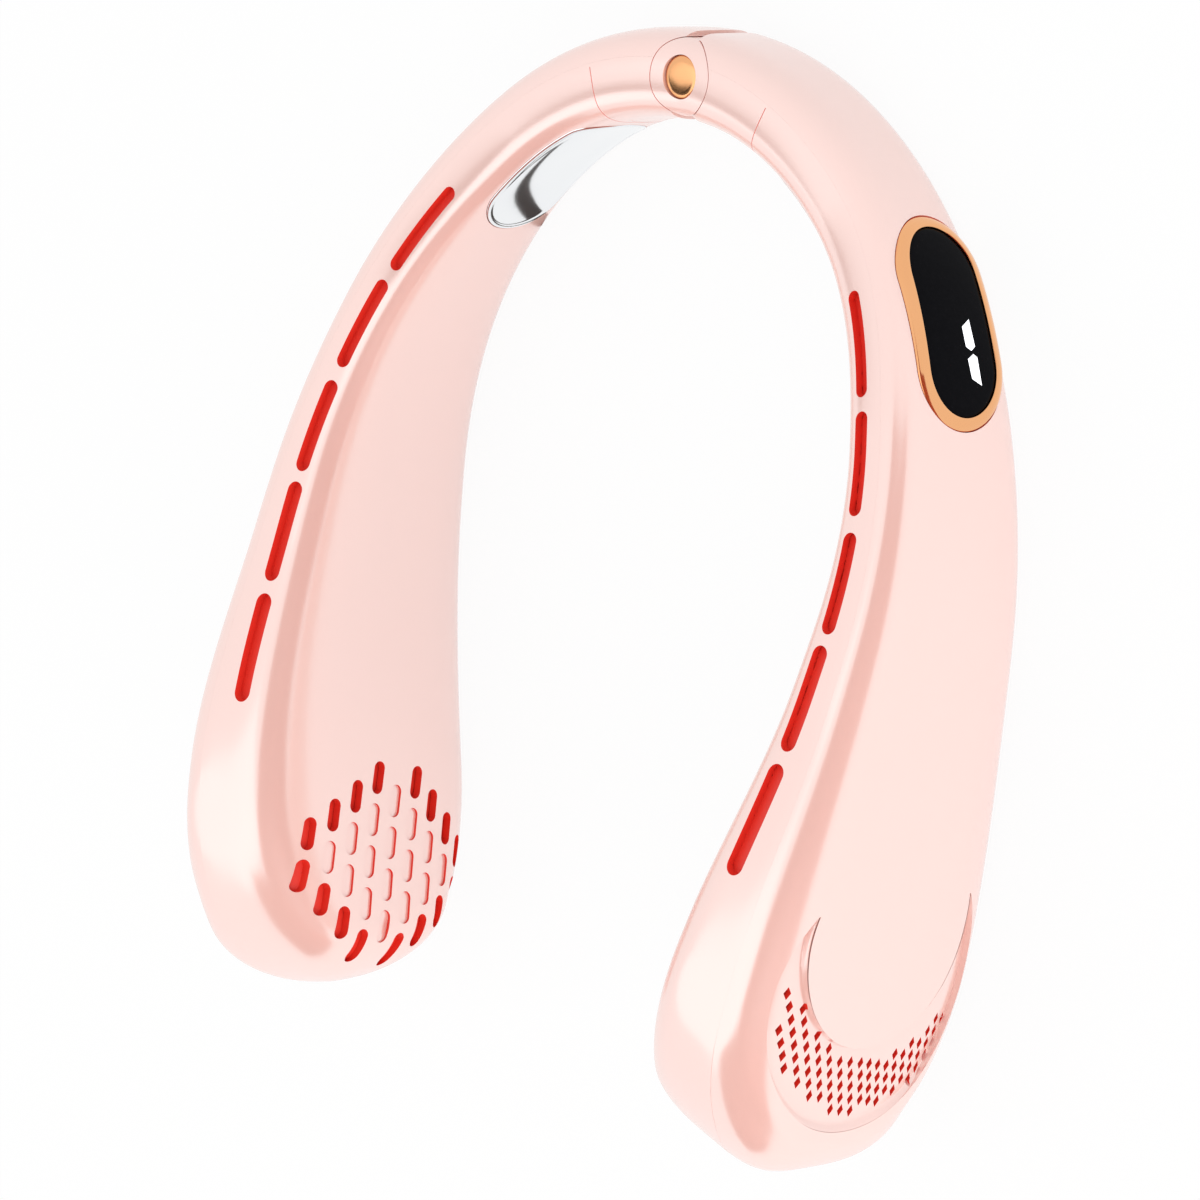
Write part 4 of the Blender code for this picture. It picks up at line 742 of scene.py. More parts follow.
class Finishes:
    """Every finish of the fan, each made once."""

    def __init__(self) -> None:
        """Builds the materials."""
        self.pink = Moulded("rose_shell", (0.90, 0.555, 0.485), (0.90, 0.57, 0.505), roughness=0.34, coat=1.0,
                            coat_roughness=0.20, coat_ior=3.3, specular=0.9).material()
        self.red = Moulded("red_liner", (0.84, 0.045, 0.025), (0.78, 0.03, 0.018), 0.42, 0.1).material()
        # Painted shade: the cut walls of seams and openings take this deeper coral than the pink shell, so
        # the gaps between parts read as shaded lines.
        self.seam = Moulded("seam_shade", (0.95, 0.34, 0.27), (0.91, 0.31, 0.25), 0.6, 0.0).material()
        self.rotor = Moulded("rotor_plastic", (0.45, 0.03, 0.02), (0.40, 0.02, 0.015), 0.45, 0.0).material()
        self.mirror = Plated("polished_plate", (0.90, 0.91, 0.92), (0.84, 0.86, 0.88), 0.11,
                             ripple=0.6).material()
        self.gold = Plated("rose_gold", (0.90, 0.46, 0.22), (0.85, 0.42, 0.19), 0.12).material()
        self.steel = Plated("drawn_steel", (0.56, 0.57, 0.58), (0.50, 0.50, 0.52), 0.30, 0.5).material()
        self.alloy = Plated("bare_alloy", (0.72, 0.73, 0.75), (0.66, 0.67, 0.69), 0.36, 0.8).material()
        self.ceramic = Moulded("fired_ceramic", (0.86, 0.86, 0.83), (0.80, 0.80, 0.77), 0.55, 0.0).material()
        self.window = SmokedWindow().material()
        self.mark = LitMark().material()
        self.board = Board().material()
        self.sleeve = ShrinkSleeve().material()
        self.copper = Winding().material()


# The arm's shape


@dataclass
class ArmForm:
    """The arm's curve, sections and round tip, as arrays that any piece can be bent onto."""

    half_width: float = 0.0683
    depth: float = 0.0861
    leg: float = 0.0971
    toe_in: float = math.radians(16.0)
    hinge_height: float = 0.0217
    pod_height: float = 0.0608
    neck_thickness: float = 0.0158
    pod_thickness: float = 0.0355
    tip_round: float = 0.0397
    tip_edge: float = 0.0118
    base_flat: float = 0.0006
    wall: float = 0.0016
    corner_power: float = 3.6
    seam_share: float = 0.35
    station_shares: tuple[float, ...] = (0.0, 0.2, 0.4, 0.6, 0.8, 1.0)
    height_shares: tuple[float, ...] = (0.0, 0.04, 0.276, 0.583, 0.903, 1.0)
    thickness_shares: tuple[float, ...] = (0.03, 0.0, 0.0, 0.2, 0.66, 1.0)
    lean_degrees: tuple[float, ...] = (0.0, -2.0, 1.0, 1.1, 1.9, 3.0)
    samples: int = 2400
    arch_samples: int = 2000
    ring_samples: int = 4000
    ring_flatness: float = 0.6

    def __post_init__(self) -> None:
        """Works out the arm's tables once."""
        angle = np.linspace(0.0, 0.5 * math.pi, self.arch_samples)
        x = self.half_width * np.sin(angle)
        y = self.depth * np.cos(angle) - self.depth
        run = np.concatenate([[0.0], np.cumsum(np.hypot(np.diff(x), np.diff(y)))])
        self.arch_length = float(run[-1])
        self.length = self.arch_length + self.leg
        self.table = np.linspace(0.0, self.length, self.samples)
        bend = np.interp(self.table, run, angle)
        turn = np.clip((self.table - self.arch_length) / self.leg, 0.0, 1.0) * self.toe_in
        radius = self.leg / self.toe_in
        on_leg = self.table > self.arch_length
        plan_x = np.where(on_leg, self.half_width - radius * (1.0 - np.cos(turn)),
                          self.half_width * np.sin(bend))
        plan_y = np.where(on_leg, -self.depth - radius * np.sin(turn), self.depth * np.cos(bend) - self.depth)
        go_x = np.where(on_leg, -np.sin(turn), self.half_width * np.cos(bend))
        go_y = np.where(on_leg, -np.cos(turn), -self.depth * np.sin(bend))
        size = np.hypot(go_x, go_y)
        go_x, go_y = go_x / size, go_y / size
        share = self.table / self.length
        self.thickness = (self.neck_thickness + (self.pod_thickness - self.neck_thickness)
                          * self._smooth(self.thickness_shares, share))
        self.height = (self.hinge_height + (self.pod_height - self.hinge_height)
                       * self._smooth(self.height_shares, share))
        lean = np.radians(self._smooth(self.lean_degrees, share))
        power = self.corner_power / (self.corner_power - 1.0)
        middle = ((np.abs(0.5 * self.thickness * np.sin(lean)) ** power
                   + np.abs(0.5 * self.height * np.cos(lean)) ** power) ** (1.0 / power) - self.base_flat)
        reach = 0.5 * self.thickness * self._tip(self.table, self.length, self.tip_edge) * np.abs(go_x)
        self.hinge_y = 0.5 * (-float(np.min(plan_y - reach)) - 0.5 * float(self.thickness[0]))
        self.origin = np.stack([plan_x, plan_y + self.hinge_y, middle], axis=1)
        self.tangent = np.stack([go_x, go_y, np.zeros_like(go_x)], axis=1)
        out = np.stack([-go_y, go_x, np.zeros_like(go_x)], axis=1)
        up = np.array([[0.0, 0.0, 1.0]])
        self.rise = up * np.cos(lean)[:, None] - out * np.sin(lean)[:, None]
        self.across = out * np.cos(lean)[:, None] + up * np.sin(lean)[:, None]

    def _smooth(self, values: Sequence[float], share: Array) -> Array:
        """Monotone cubic through the station table.

        Args:
            values: the value at each station.
            share: where to read it, from 0 at the hinge to 1 at the tip.

        Returns:
            The values between the stations.
        """
        places = self.station_shares
        steps = [b - a for a, b in zip(places, places[1:])]
        rises = [(b - a) / step for a, b, step in zip(values, values[1:], steps)]
        slopes = [rises[0]]
        for before, after in zip(rises, rises[1:]):
            slopes.append(0.0 if before * after <= 0.0 else 2.0 * before * after / (before + after))
        slopes.append(rises[-1])
        index = np.clip(np.searchsorted(places, share, side="right") - 1, 0, len(steps) - 1)
        step = np.array(steps)[index]
        t = (share - np.array(places)[index]) / step
        start, end = np.array(values)[index], np.array(values)[index + 1]
        first, second = np.array(slopes)[index], np.array(slopes)[index + 1]
        return (start * (1.0 + 2.0 * t) * (1.0 - t) ** 2 + end * t * t * (3.0 - 2.0 * t)
                + step * first * t * (1.0 - t) ** 2 - step * second * t * t * (1.0 - t))

    @staticmethod
    def _tip(along: Array, end: float, radius: float) -> Array:
        """Share of the full size that is left inside the round tip."""
        into = np.maximum(along - (end - radius), 0.0)
        return np.sqrt(np.maximum(0.0, 1.0 - (into / radius) ** 2))

    def read(self, table: Array, along: Array) -> Array:
        """Reads one of the arm's tables.

        Args:
            table: numbers or vectors, one for each sample.
            along: distances along the arm.

        Returns:
            What the table holds there.
        """
        if table.ndim == 1:
            return np.interp(along, self.table, table)
        return np.stack([np.interp(along, self.table, table[:, k]) for k in range(3)], axis=1)

    def point(self, along: Array, across: Array, rise: Array) -> Array:
        """Points in the frame of the record.

        Args:
            along: distance from the hinge.
            across: distance from the section's middle towards the outer face.
            rise: height over the section's middle.

        Returns:
            One point in each row.
        """
        along = np.asarray(along, dtype=float)
        return (self.read(self.origin, along) + self.read(self.across, along) * np.asarray(across)[..., None]
                + self.read(self.rise, along) * np.asarray(rise)[..., None])

    def half(self, along: Array, inset: float = 0.0) -> tuple[Array, Array]:
        """The section's half sizes.

        Args:
            along: distances along the arm.
            inset: how far under the outer surface.

        Returns:
            Half thicknesses and half heights.
        """
        end = self.length - inset
        wide = (0.5 * self.read(self.thickness, along) - inset) * self._tip(along, end, self.tip_edge - inset)
        tall = (0.5 * self.read(self.height, along) - inset) * self._tip(along, end, self.tip_round - inset)
        return wide, tall

    def bulge(self, place: Array, half: Array) -> Array:
        """Share of the full size that the rounded section keeps at a place of its other half size."""
        share = np.minimum(np.abs(place) / np.maximum(half, HAIRLINE), 1.0)
        return (1.0 - share ** self.corner_power) ** (1.0 / self.corner_power)

    def side(self, along: Array, rise: Array, inset: float = 0.0) -> Array:
        """Distance across from the middle to a wide face."""
        wide, tall = self.half(along, inset)
        return wide * self.bulge(rise, tall)

    def top(self, along: Array, across: Array, inset: float = 0.0) -> Array:
        """Rise of the upper face."""
        wide, tall = self.half(along, inset)
        return tall * self.bulge(across, wide)

    def wave(self, value: Array) -> Array:
        """The power that makes the section's rounded corners."""
        return np.copysign(np.abs(value) ** (2.0 / self.corner_power), value)

    def outline(self, angle: Array, wide: Array, tall: Array) -> tuple[Array, Array]:
        """Places across and heights on a section's outline, from its angles and half sizes."""
        return wide * self.wave(np.cos(angle)), tall * self.wave(np.sin(angle))

    def even_angles(self, first: float, last: float, steps: int) -> Array:
        """Section angles whose points lie evenly round flats and corners alike.

        Args:
            first: the first angle.
            last: the last angle.
            steps: how many steps lie between them.

        Returns:
            The angles, one more than the steps.
        """
        eased = np.linspace(0.0, 1.0, self.ring_samples + 1)
        angle = first + (last - first) * eased
        x, y = self.ring_flatness * self.wave(np.cos(angle)), self.wave(np.sin(angle))
        run = np.concatenate([[0.0], np.cumsum(np.hypot(np.diff(x), np.diff(y)))])
        heading = np.unwrap(np.arctan2(np.diff(y), np.diff(x)))
        turning = np.concatenate([[0.0], [0.0], np.cumsum(np.abs(np.diff(heading)))])
        mixed = run / run[-1] + turning / turning[-1]
        return np.interp(np.linspace(0.0, mixed[-1], steps + 1), mixed, angle)

    def seam(self, along: Array, offset: float, inset: float = 0.0) -> Array:
        """Section angle of the upper seam between the two half shells.

        Args:
            along: distances along the arm.
            offset: how far towards the outer face.
            inset: how far under the outer surface.

        Returns:
            The seam's angle at each distance.
        """
        wide = np.maximum(self.half(along, inset)[0], HAIRLINE)
        tip = self._tip(along, self.length, self.tip_edge)
        share = (self.seam_share * 0.5 * self.read(self.thickness, along) * tip + offset) / wide
        return np.arccos(np.clip(share, 0.0, 1.0) ** (0.5 * self.corner_power))

    def along_steps(self, start: float, straight: int, tip: int, inset: float = 0.0) -> Array:
        """Stations from a start to the tip's pole, closer together in the round tip.

        Args:
            start: the first station.
            straight: steps up to the round tip.
            tip: steps round the tip.
            inset: how far under the outer surface.

        Returns:
            The stations' distances along the arm.
        """
        bend = self.length - self.tip_round
        turn = np.radians(np.linspace(0.0, 90.0, tip + 1)[1:])
        reach = (self.tip_round - inset) * np.sin(turn)
        return np.concatenate([np.linspace(start, bend, straight + 1), bend + reach])

    def on_face(self, face: Face, points: Array, along: float = 0.0, rise: float = 0.0) -> Array:
        """Bends flat points (run, rise, height over the face) onto one of the wide faces."""
        run, lift = points[:, 0] + along, points[:, 1] + rise
        return self.point(run, face.value * (self.side(run, lift) + points[:, 2]), lift)

    def on_top(self, points: Array, along: float, centre_share: float) -> Array:
        """Bends flat points onto the upper face.

        Args:
            points: run, breadth and height over the face, one point in each row.
            along: how far along the arm their middle is.
            centre_share: where it is across, as a share of half the arm's thickness.

        Returns:
            The bent points.
        """
        run = points[:, 0] + along
        middle = centre_share * 0.5 * self.read(self.thickness, run)
        return self.point(run, middle + points[:, 1], self.top(run, middle) + points[:, 2])

    def place(self, along: float) -> Matrix:
        """The frame of a section.

        Args:
            along: how far along the arm it is.

        Returns:
            A matrix with its X along the arm, Y rising and Z across, at the section's middle.
        """
        where = np.array([along])
        columns = [self.read(self.tangent, where)[0], self.read(self.rise, where)[0],
                   self.read(self.across, where)[0]]
        made = Matrix([[columns[c][r] for c in range(3)] for r in range(3)]).to_4x4()
        made.translation = Vector(self.read(self.origin, where)[0])
        return made


# Sub-assemblies


@dataclass
class Assembly:
    """What every sub-assembly is given: the arm's form and the finishes."""

    form: ArmForm
    finishes: Finishes


@dataclass
class Slots(Assembly):
    """The row of air slots along the upper face, and the red channel behind it."""

    spans: Pairs = (
        (0.0600, 0.0792), (0.0817, 0.0998), (0.1026, 0.1202), (0.1222, 0.1407), (0.1430, 0.1629))
    width_upper: float = 0.0027
    width_lower: float = 0.0037
    offset_share: float = -0.22
    vane_depth: float = 0.0020
    vane_thickness: float = 0.0004
    vane_gap: float = 0.0003
    duct_start: float = 0.0570
    duct_wall: float = 0.0010
    duct_top_wall: float = 0.0014
    duct_outer_share: float = 0.13
    duct_mouth_share: float = 0.33
    duct_draw: float = 0.0009
    duct_end: float = 0.1656
    duct_side_share: float = 0.12
    duct_corner: float = 0.06
    lip_margin: float = 0.0008
    lip_height: float = 0.0006
    overrun: float = 0.002
    bends: int = 9
    fit: float = 0.0003

    def width(self, index: int) -> float:
        """The width of a slot; they widen towards the tip."""
        return self.width_upper + (self.width_lower - self.width_upper) * index / (len(self.spans) - 1)

    def length(self, index: int) -> float:
        """The whole length of a slot."""
        return self.spans[index][1] - self.spans[index][0]

    def middle(self, index: int) -> float:
        """How far along the arm a slot's middle is."""
        return 0.5 * (self.spans[index][0] + self.spans[index][1])

    def cutter(self, index: int, low: float, high: float) -> Piece:
        """A bent capsule through the upper face, with red walls."""
        return Bench.coat(self.capsule(f"slot_{index}", index, 0.0, low, high), self.finishes.red)

    def capsule(self, name: str, index: int, grow: float, low: float, high: float,
                shift: float = 0.0) -> Piece:
        """A capsule bent onto the upper face in a slot's place.

        Args:
            name: the object's name.
            index: the slot's number, from the hinge.
            grow: how much wider than the slot it is on each side.
            low: its lower end, as a height over the face.
            high: its upper end.
            shift: how far it is moved towards the outer face.

        Returns:
            The block.
        """
        block = Bench.capsule_block(name, self.length(index) + 2.0 * grow, self.width(index) + 2.0 * grow,
                                    low, high, self.bends)
        Bench.move(block, lambda p: p + np.array([[0.0, shift, 0.0]]))
        Bench.move(block, lambda p: self.form.on_top(p, self.middle(index), self.offset_share))
        return block

    def vanes(self, side: Side) -> Piece:
        """The red vanes that lie across the slots' depth, short of one wall so that air gets out.

        Args:
            side: which arm.

        Returns:
            The five vanes as one piece.
        """
        shift = -side.value * (self.vane_gap + self.duct_wall)
        parts = [self.capsule(f"vane_{index}", index, self.duct_wall, -self.vane_depth - self.vane_thickness,
                              -self.vane_depth, shift) for index in range(len(self.spans))]
        item = Bench.join(parts, f"{side.word}_slot_vanes")
        Bench.dress(item, self.finishes.red, side)
        return item

    def duct_ring(self, along: Array, v: Array, inset: float, top_inset: float) -> Array:
        """Points of the channel's closed section, from its floor over the outer wall and the roof.

        Args:
            along: distances along the arm.
            v: from 0 to 1 once round the section.
            inset: how far inside the outer surface the side walls and the floor are.
            top_inset: how far inside it the roof is.

        Returns:
            One point in each row.
        """
        last_slot = self.spans[-1][0]
        widen = np.clip((along - last_slot) / (self.duct_end - last_slot), 0.0, 1.0)
        share = self.duct_outer_share + (self.duct_mouth_share - self.duct_outer_share) * widen
        edge = share * 0.5 * self.form.read(self.form.thickness, along) - inset
        wide, tall = self.form.half(along, self.form.wall + self.fit)
        wide = wide - inset - self.duct_draw * widen
        tall = tall - top_inset - self.duct_draw * widen
        power = self.form.corner_power
        first = np.arccos(np.clip(edge / wide, 0.0, 1.0) ** (0.5 * power))
        last = math.pi - self.duct_corner
        rising, falling = self.duct_side_share, 1.0 - self.duct_side_share
        angle = first + (last - first) * np.clip((v - rising) / (falling - rising), 0.0, 1.0)
        across, rise = self.form.outline(angle, wide, tall)
        top = self.form.outline(first, wide, tall)[1]
        left = self.form.outline(last, wide, tall)[0]
        back = left + (edge - left) * np.clip((v - falling) / rising, 0.0, 1.0)
        across = np.where(v < rising, edge, np.where(v > falling, back, across))
        rise = np.where(v < rising, inset + (top - inset) * v / rising, np.maximum(rise, inset))
        return self.form.point(along, across, np.where(v > falling, inset, rise))

    def duct(self, side: Side) -> Piece:
        """The red channel from the blower's mouth to the last slot, with raised lips round the slots.

        Args:
            side: which arm.

        Returns:
            The hollow channel.
        """
        outer = self.tube(f"{side.word}_air_duct", 0.0, 0.0, 0.0)
        Bench.carve(outer, self.tube("duct_bore", self.duct_wall, self.duct_top_wall, self.overrun))
        roof = self.form.wall + self.fit
        for index in range(len(self.spans)):
            top = -self.form.wall - 5.0 * HAIRLINE
            lip = self.capsule("lip", index, self.lip_margin, -roof - self.lip_height, top)
            Bench.carve(outer, lip, "UNION")
        for index in range(len(self.spans)):
            low = -roof - self.duct_top_wall - self.overrun
            Bench.carve(outer, self.cutter(index, low, 0.5 * self.overrun))
        outer.data.materials.clear()
        Bench.dress(outer, self.finishes.red, side)
        return outer

    def tube(self, name: str, inset: float, top_inset: float, over: float) -> Piece:
        """The channel's outer form or its bore, closed at both ends.

        Args:
            name: the object's name.
            inset: how far inside the outer surface the side walls, floor and near end are.
            top_inset: how far inside it the roof is.
            over: how far it runs past the mouth.

        Returns:
            The closed tube.
        """
        begin, end = self.duct_start + inset, self.duct_end + over
        item = Bench.sheet(name, 60, 50,
                           lambda u, v: self.duct_ring(begin + (end - begin) * u, v, inset, top_inset))
        Bench.cap(item)
        return item


@dataclass
class Intake(Assembly):
    """The slanted field of capsule holes on the inner face: open round its rim, blind inside."""

    from_tip: float = 0.0228
    columns: tuple[int, ...] = (2, 3, 4, 5, 4, 5, 4, 3, 2)
    rise: float = -0.00025
    column_pitch: float = 0.0052
    column_lag: float = 0.00014
    row_pitch: float = 0.0082
    length: float = 0.0064
    width: float = 0.0028
    turn: float = math.radians(13.0)
    blind_depth: float = 0.00050
    screen_depth: float = 0.0020
    screen_radius: float = 0.0238
    screen_share: float = 0.84
    screen_thickness: float = 0.0003
    overrun: float = 0.001

    def cutters(self) -> list[Piece]:
        """One block for every hole; the end holes of each column but the middle one go through.

        Returns:
            The blocks.
        """
        blocks = []
        middle = len(self.columns) // 2
        cosine, sine = math.cos(self.turn), math.sin(self.turn)
        for column, count in enumerate(self.columns):
            for row in range(count):
                through = column != middle and row in (0, count - 1)
                x = self.row_pitch * (row - 0.5 * (count - 1)) + self.column_lag * (column - middle)
                y = self.column_pitch * (column - middle)
                low = -self.form.wall - self.overrun if through else -self.blind_depth
                blocks.append(self.block(x * cosine - y * sine, x * sine + y * cosine, low, through))
        return blocks

    def block(self, x: float, y: float, low: float, through: bool) -> Piece:
        """A capsule at one hole, with red walls and, where it is blind, a pink floor.

        Args:
            x: the hole's place along the arm from the field's middle.
            y: its place in height.
            low: its lower end under the face.
            through: whether it is open.

        Returns:
            The cutter.
        """
        block = Bench.capsule_block("intake_hole", self.length, self.width, low, 1.5 * self.overrun,
                                    round_steps=28)
        block.data.materials.append(self.finishes.red)
        block.data.materials.append(self.finishes.pink)
        # On the blind holes the red walls stand partly for the red part behind the plate, seen at their
        # edges, and partly for painted shade on those walls.
        if not through:
            for face in block.data.polygons:
                face.material_index = 1 if face.normal.z < -0.9 else 0
        spin = np.array([[math.cos(self.turn), math.sin(self.turn), 0.0],
                         [-math.sin(self.turn), math.cos(self.turn), 0.0], [0.0, 0.0, 1.0]])
        along, shift = self.form.length - self.from_tip, np.array([[x, y + self.rise, 0.0]])
        Bench.move(block, lambda p: self.form.on_face(Face.INNER, p @ spin + shift, along))
        Bench.outward(block)
        return block

    def screen(self, side: Side) -> Piece:
        """The red screen that stands behind the open holes.

        Args:
            side: which arm.

        Returns:
            The screen.
        """
        along = self.form.length - self.from_tip

        def shape(u: Array, v: Array) -> Array:
            """Places on a disc: u runs round it and v outwards."""
            angle = 2.0 * math.pi * u
            reach = self.screen_radius * v
            flat = np.stack([self.screen_share * reach * np.cos(angle), reach * np.sin(angle),
                             np.full_like(u, -self.screen_depth)], axis=1)
            return self.form.on_face(Face.INNER, flat, along)

        item = Bench.sheet(f"{side.word}_intake_screen", 48, 12, shape)
        Bench.merge(item)
        Bench.apply(item, "SOLIDIFY", thickness=self.screen_thickness, offset=0.0)
        Bench.dress(item, self.finishes.red, side)
        return item


@dataclass
class Crescent(Assembly):
    """The sunk crescent of diamond holes round the tongue on the outer face."""

    tongue_from_tip: float = 0.0487
    tongue_radius: float = 0.0199
    rim_from_tip: float = 0.0383
    rim_radius: float = 0.0248
    sink: float = 0.0013
    rim_round: float = 0.0011
    tongue_round: float = 0.0005
    horn_rise: float = -0.013
    horn_fade: float = 0.006
    horn_round_share: float = 0.35
    horn_share: float = 0.985
    thickness: float = 0.0010
    columns: tuple[tuple[int, int], ...] = (
        (0, 4), (-3, 8), (-2, 8), (0, 6), (1, 6), (2, 5), (2, 5), (2, 4), (2, 4), (2, 4),
        (2, 3), (1, 4), (1, 3), (0, 4), (0, 3), (-1, 3), (-2, 3), (-2, 1), (-3, 1))
    middle_column: int = 7
    middle_from_tip: float = 0.0299
    middle_rise: float = 0.0009
    upper_pitch: float = 0.0028
    lower_pitch: float = 0.00243
    column_lag: float = 0.00046
    row_step: tuple[float, float] = (0.00233, -0.00085)
    fan: float = 0.00003
    fan_row: float = 2.0
    fan_drift: float = 0.21
    half_length: float = 0.00116
    half_width: float = 0.00074
    ledge_gap: float = 0.0040
    ledge_round: float = 0.0030
    ledge_depth: float = 0.00045
    ledge_lead: float = 0.012
    ledge_fade: float = 0.014
    overrun: float = 0.001
    opening_depth: float = 0.0042
    screen_gap: float = 0.0004
    screen_thickness: float = 0.0002
    steps: int = 260
    cross_steps: int = 44

    def to_tongue(self, along: Array, rise: Array) -> Array:
        """Distance outside the tongue's round end."""
        return np.hypot(along - (self.form.length - self.tongue_from_tip), rise) - self.tongue_radius

    def to_rim(self, along: Array, rise: Array) -> Array:
        """Distance inside the recess's rim."""
        return self.rim_radius - np.hypot(along - (self.form.length - self.rim_from_tip), rise)

    def depth(self, along: Array, rise: Array) -> Array:
        """How far the recess lies under the outer face; its rim is steeper in the lower horn.

        Args:
            along: distances along the arm.
            rise: heights over the section's middle.

        Returns:
            The depths.
        """
        near = np.clip(self.to_tongue(along, rise) / self.tongue_round, 0.0, 1.0)
        least = self.horn_round_share
        steep = least + (1.0 - least) * np.clip((rise - self.horn_rise) / self.horn_fade, 0.0, 1.0)
        far = np.clip(self.to_rim(along, rise) / (self.rim_round * steep), 0.0, 1.0)
        near, far = near * near * (3.0 - 2.0 * near), far * far * (3.0 - 2.0 * far)
        return self.sink * near * far

    def ledge(self, along: Array, rise: Array) -> Array:
        """How far the outer face steps down outside the soft contour round the recess.

        Args:
            along: distances along the arm.
            rise: heights over the section's middle.

        Returns:
            The steps' depths, nought on the hinge's side.
        """
        outside = np.clip((-self.to_rim(along, rise) - self.ledge_gap) / self.ledge_round + 0.5, 0.0, 1.0)
        rim = self.form.length - self.rim_from_tip
        tip_side = np.clip((along - rim + self.ledge_lead) / self.ledge_fade, 0.0, 1.0)
        return self.ledge_depth * outside * outside * (3.0 - 2.0 * outside) * tip_side * tip_side

    def outline(self, u: Array, v: Array, margin: float = 0.0) -> tuple[Array, Array]:
        """Places in the crescent.

        Args:
            u: from 0 to 1 between its horns.
            v: from 0 at the tongue to 1 at the rim.
            margin: how far the crescent is widened.

        Returns:
            Distances along the arm and heights over the section's middle.
        """
        inner, outer = self.tongue_radius - margin, self.rim_radius + margin
        tongue = self.form.length - self.tongue_from_tip
        rim = self.form.length - self.rim_from_tip
        gap = rim - tongue
        reach = (inner * inner - outer * outer + gap * gap) / (2.0 * gap)
        cross = math.sqrt(inner * inner - reach * reach)
        share = (2.0 * u - 1.0) * self.horn_share
        near, far = math.atan2(cross, reach) * share, math.atan2(cross, reach - gap) * share
        along = (tongue + inner * np.cos(near)) * (1.0 - v) + (rim + outer * np.cos(far)) * v
        rise = inner * np.sin(near) * (1.0 - v) + outer * np.sin(far) * v
        return along, rise

    def cutter(self) -> Piece:
        """The crescent opening in the outer shell.

        Returns:
            The cutter, from a little over the face to under the grille.
        """
        def shape(u: Array, v: Array) -> Array:
            """Places in the crescent, a little over the outer face."""
            along, rise = self.outline(u, v)
            return self.form.point(along, self.form.side(along, rise) + self.overrun, rise)

        block = Bench.sheet("crescent_opening", self.steps, 3, shape)
        Bench.outward(block)
        Bench.apply(block, "SOLIDIFY", thickness=self.opening_depth, offset=-1.0)
        Bench.outward(block)
        return Bench.coat(block, self.finishes.pink)

    def skin(self, name: str, extra: float, margin: float) -> Piece:
        """A sheet that follows the recess's floor.

        Args:
            name: the object's name.
            extra: how far below the floor it lies.
            margin: how far the crescent is widened.

        Returns:
            The sheet.
        """
        def shape(u: Array, v: Array) -> Array:
            """Places in the crescent, bent onto the outer face and sunk."""
            along, rise = self.outline(u, v, margin)
            return self.form.point(along, self.form.side(along, rise) - self.depth(along, rise) - extra, rise)

        return Bench.sheet(name, self.steps, self.cross_steps, shape)

    def plate(self, name: str) -> Piece:
        """The closed crescent plate before its holes are cut.

        Args:
            name: the object's name.

        Returns:
            The plate.
        """
        across = self.cross_steps

        def shape(u: Array, v: Array) -> Array:
            """Places on the face, then back on the underside, and at last on the face's first edge."""
            step = v * (2 * across + 2)
            share = np.where(step > across + 0.5, 2 * across + 1 - step, step) / across
            under = (step > across + 0.5) & (share >= 0.0)
            along, rise = self.outline(u, np.maximum(share, 0.0))
            lift = self.depth(along, rise) + np.where(under, self.thickness, 0.0)
            return self.form.point(along, self.form.side(along, rise) - lift, rise)

        item = Bench.sheet(name, self.steps, 2 * across + 2, shape)
        Bench.cap(item, 0.5 * FINE_MERGE)
        return item

    def grille(self, side: Side) -> Piece:
        """The crescent plate with its rounded rims and the lattice of diamonds.

        Args:
            side: which arm.

        Returns:
            The plate.
        """
        reference = self.skin("grille_reference", 0.0, 0.0)
        middle = self.form.place(self.form.length - self.rim_from_tip)
        Bench.face_like(reference, lambda p: Vector(middle.col[2][:3]))
        item = Bench.coat(self.plate(f"{side.word}_outer_grille_plate"), self.finishes.pink)
        Bench.carve(item, self.diamonds())
        if side is Side.LEFT:
            Bench.mirror(item)
            Bench.mirror(reference)
        Bench.borrow_normals(item, reference)
        return item

    def diamond(self, along: float, rise: float) -> Piece:
        """One diamond prism through the plate, its long axis along the arm.

        Args:
            along: how far along the arm it is.
            rise: its height over the section's middle.

        Returns:
            The cutter.
        """
        bpy.ops.object.select_all(action="DESELECT")
        bpy.ops.mesh.primitive_cylinder_add(vertices=4, radius=1.0, depth=2.0)
        item = Bench.coat(Bench.take("diamond"), self.finishes.red)
        low, high = -self.sink - self.thickness - self.overrun, self.overrun

        def shape(p: Array) -> Array:
            """Stretches the unit prism and stands it on the outer face."""
            x = self.half_length * p[:, 1]
            y = self.half_width * p[:, 0]
            lift = low + (high - low) * (0.5 + 0.5 * p[:, 2])
            reach = self.form.side(np.array([along]), np.array([rise]))[0]
            return self.form.point(along + x, reach + lift, rise + y)

        Bench.move(item, shape)
        Bench.outward(item)
        return item

    def diamonds(self) -> Piece:
        """All diamond cutters, column by column.

        Returns:
            The cutters as one object.
        """
        pieces = []
        for index, (first, count) in enumerate(self.columns):
            step = index - self.middle_column
            pitch = self.upper_pitch if step < 0 else self.lower_pitch
            start = self.form.length - self.middle_from_tip + self.column_lag * step
            for row in range(first, first + count):
                lean = self.fan * step * (row - self.fan_row + self.fan_drift * index)
                pieces.append(self.diamond(start + self.row_step[0] * row,
                                           self.middle_rise - pitch * step + self.row_step[1] * row + lean))
        return Bench.join(pieces, "diamonds")

    def screen(self, side: Side) -> Piece:
        """The red screen that stands behind the diamonds.

        Args:
            side: which arm.

        Returns:
            The screen.
        """
        item = self.skin(f"{side.word}_grille_screen", self.thickness + self.screen_gap,
                         self.screen_thickness)
        Bench.apply(item, "SOLIDIFY", thickness=self.screen_thickness, offset=0.0)
        Bench.dress(item, self.finishes.red, side)
        return item


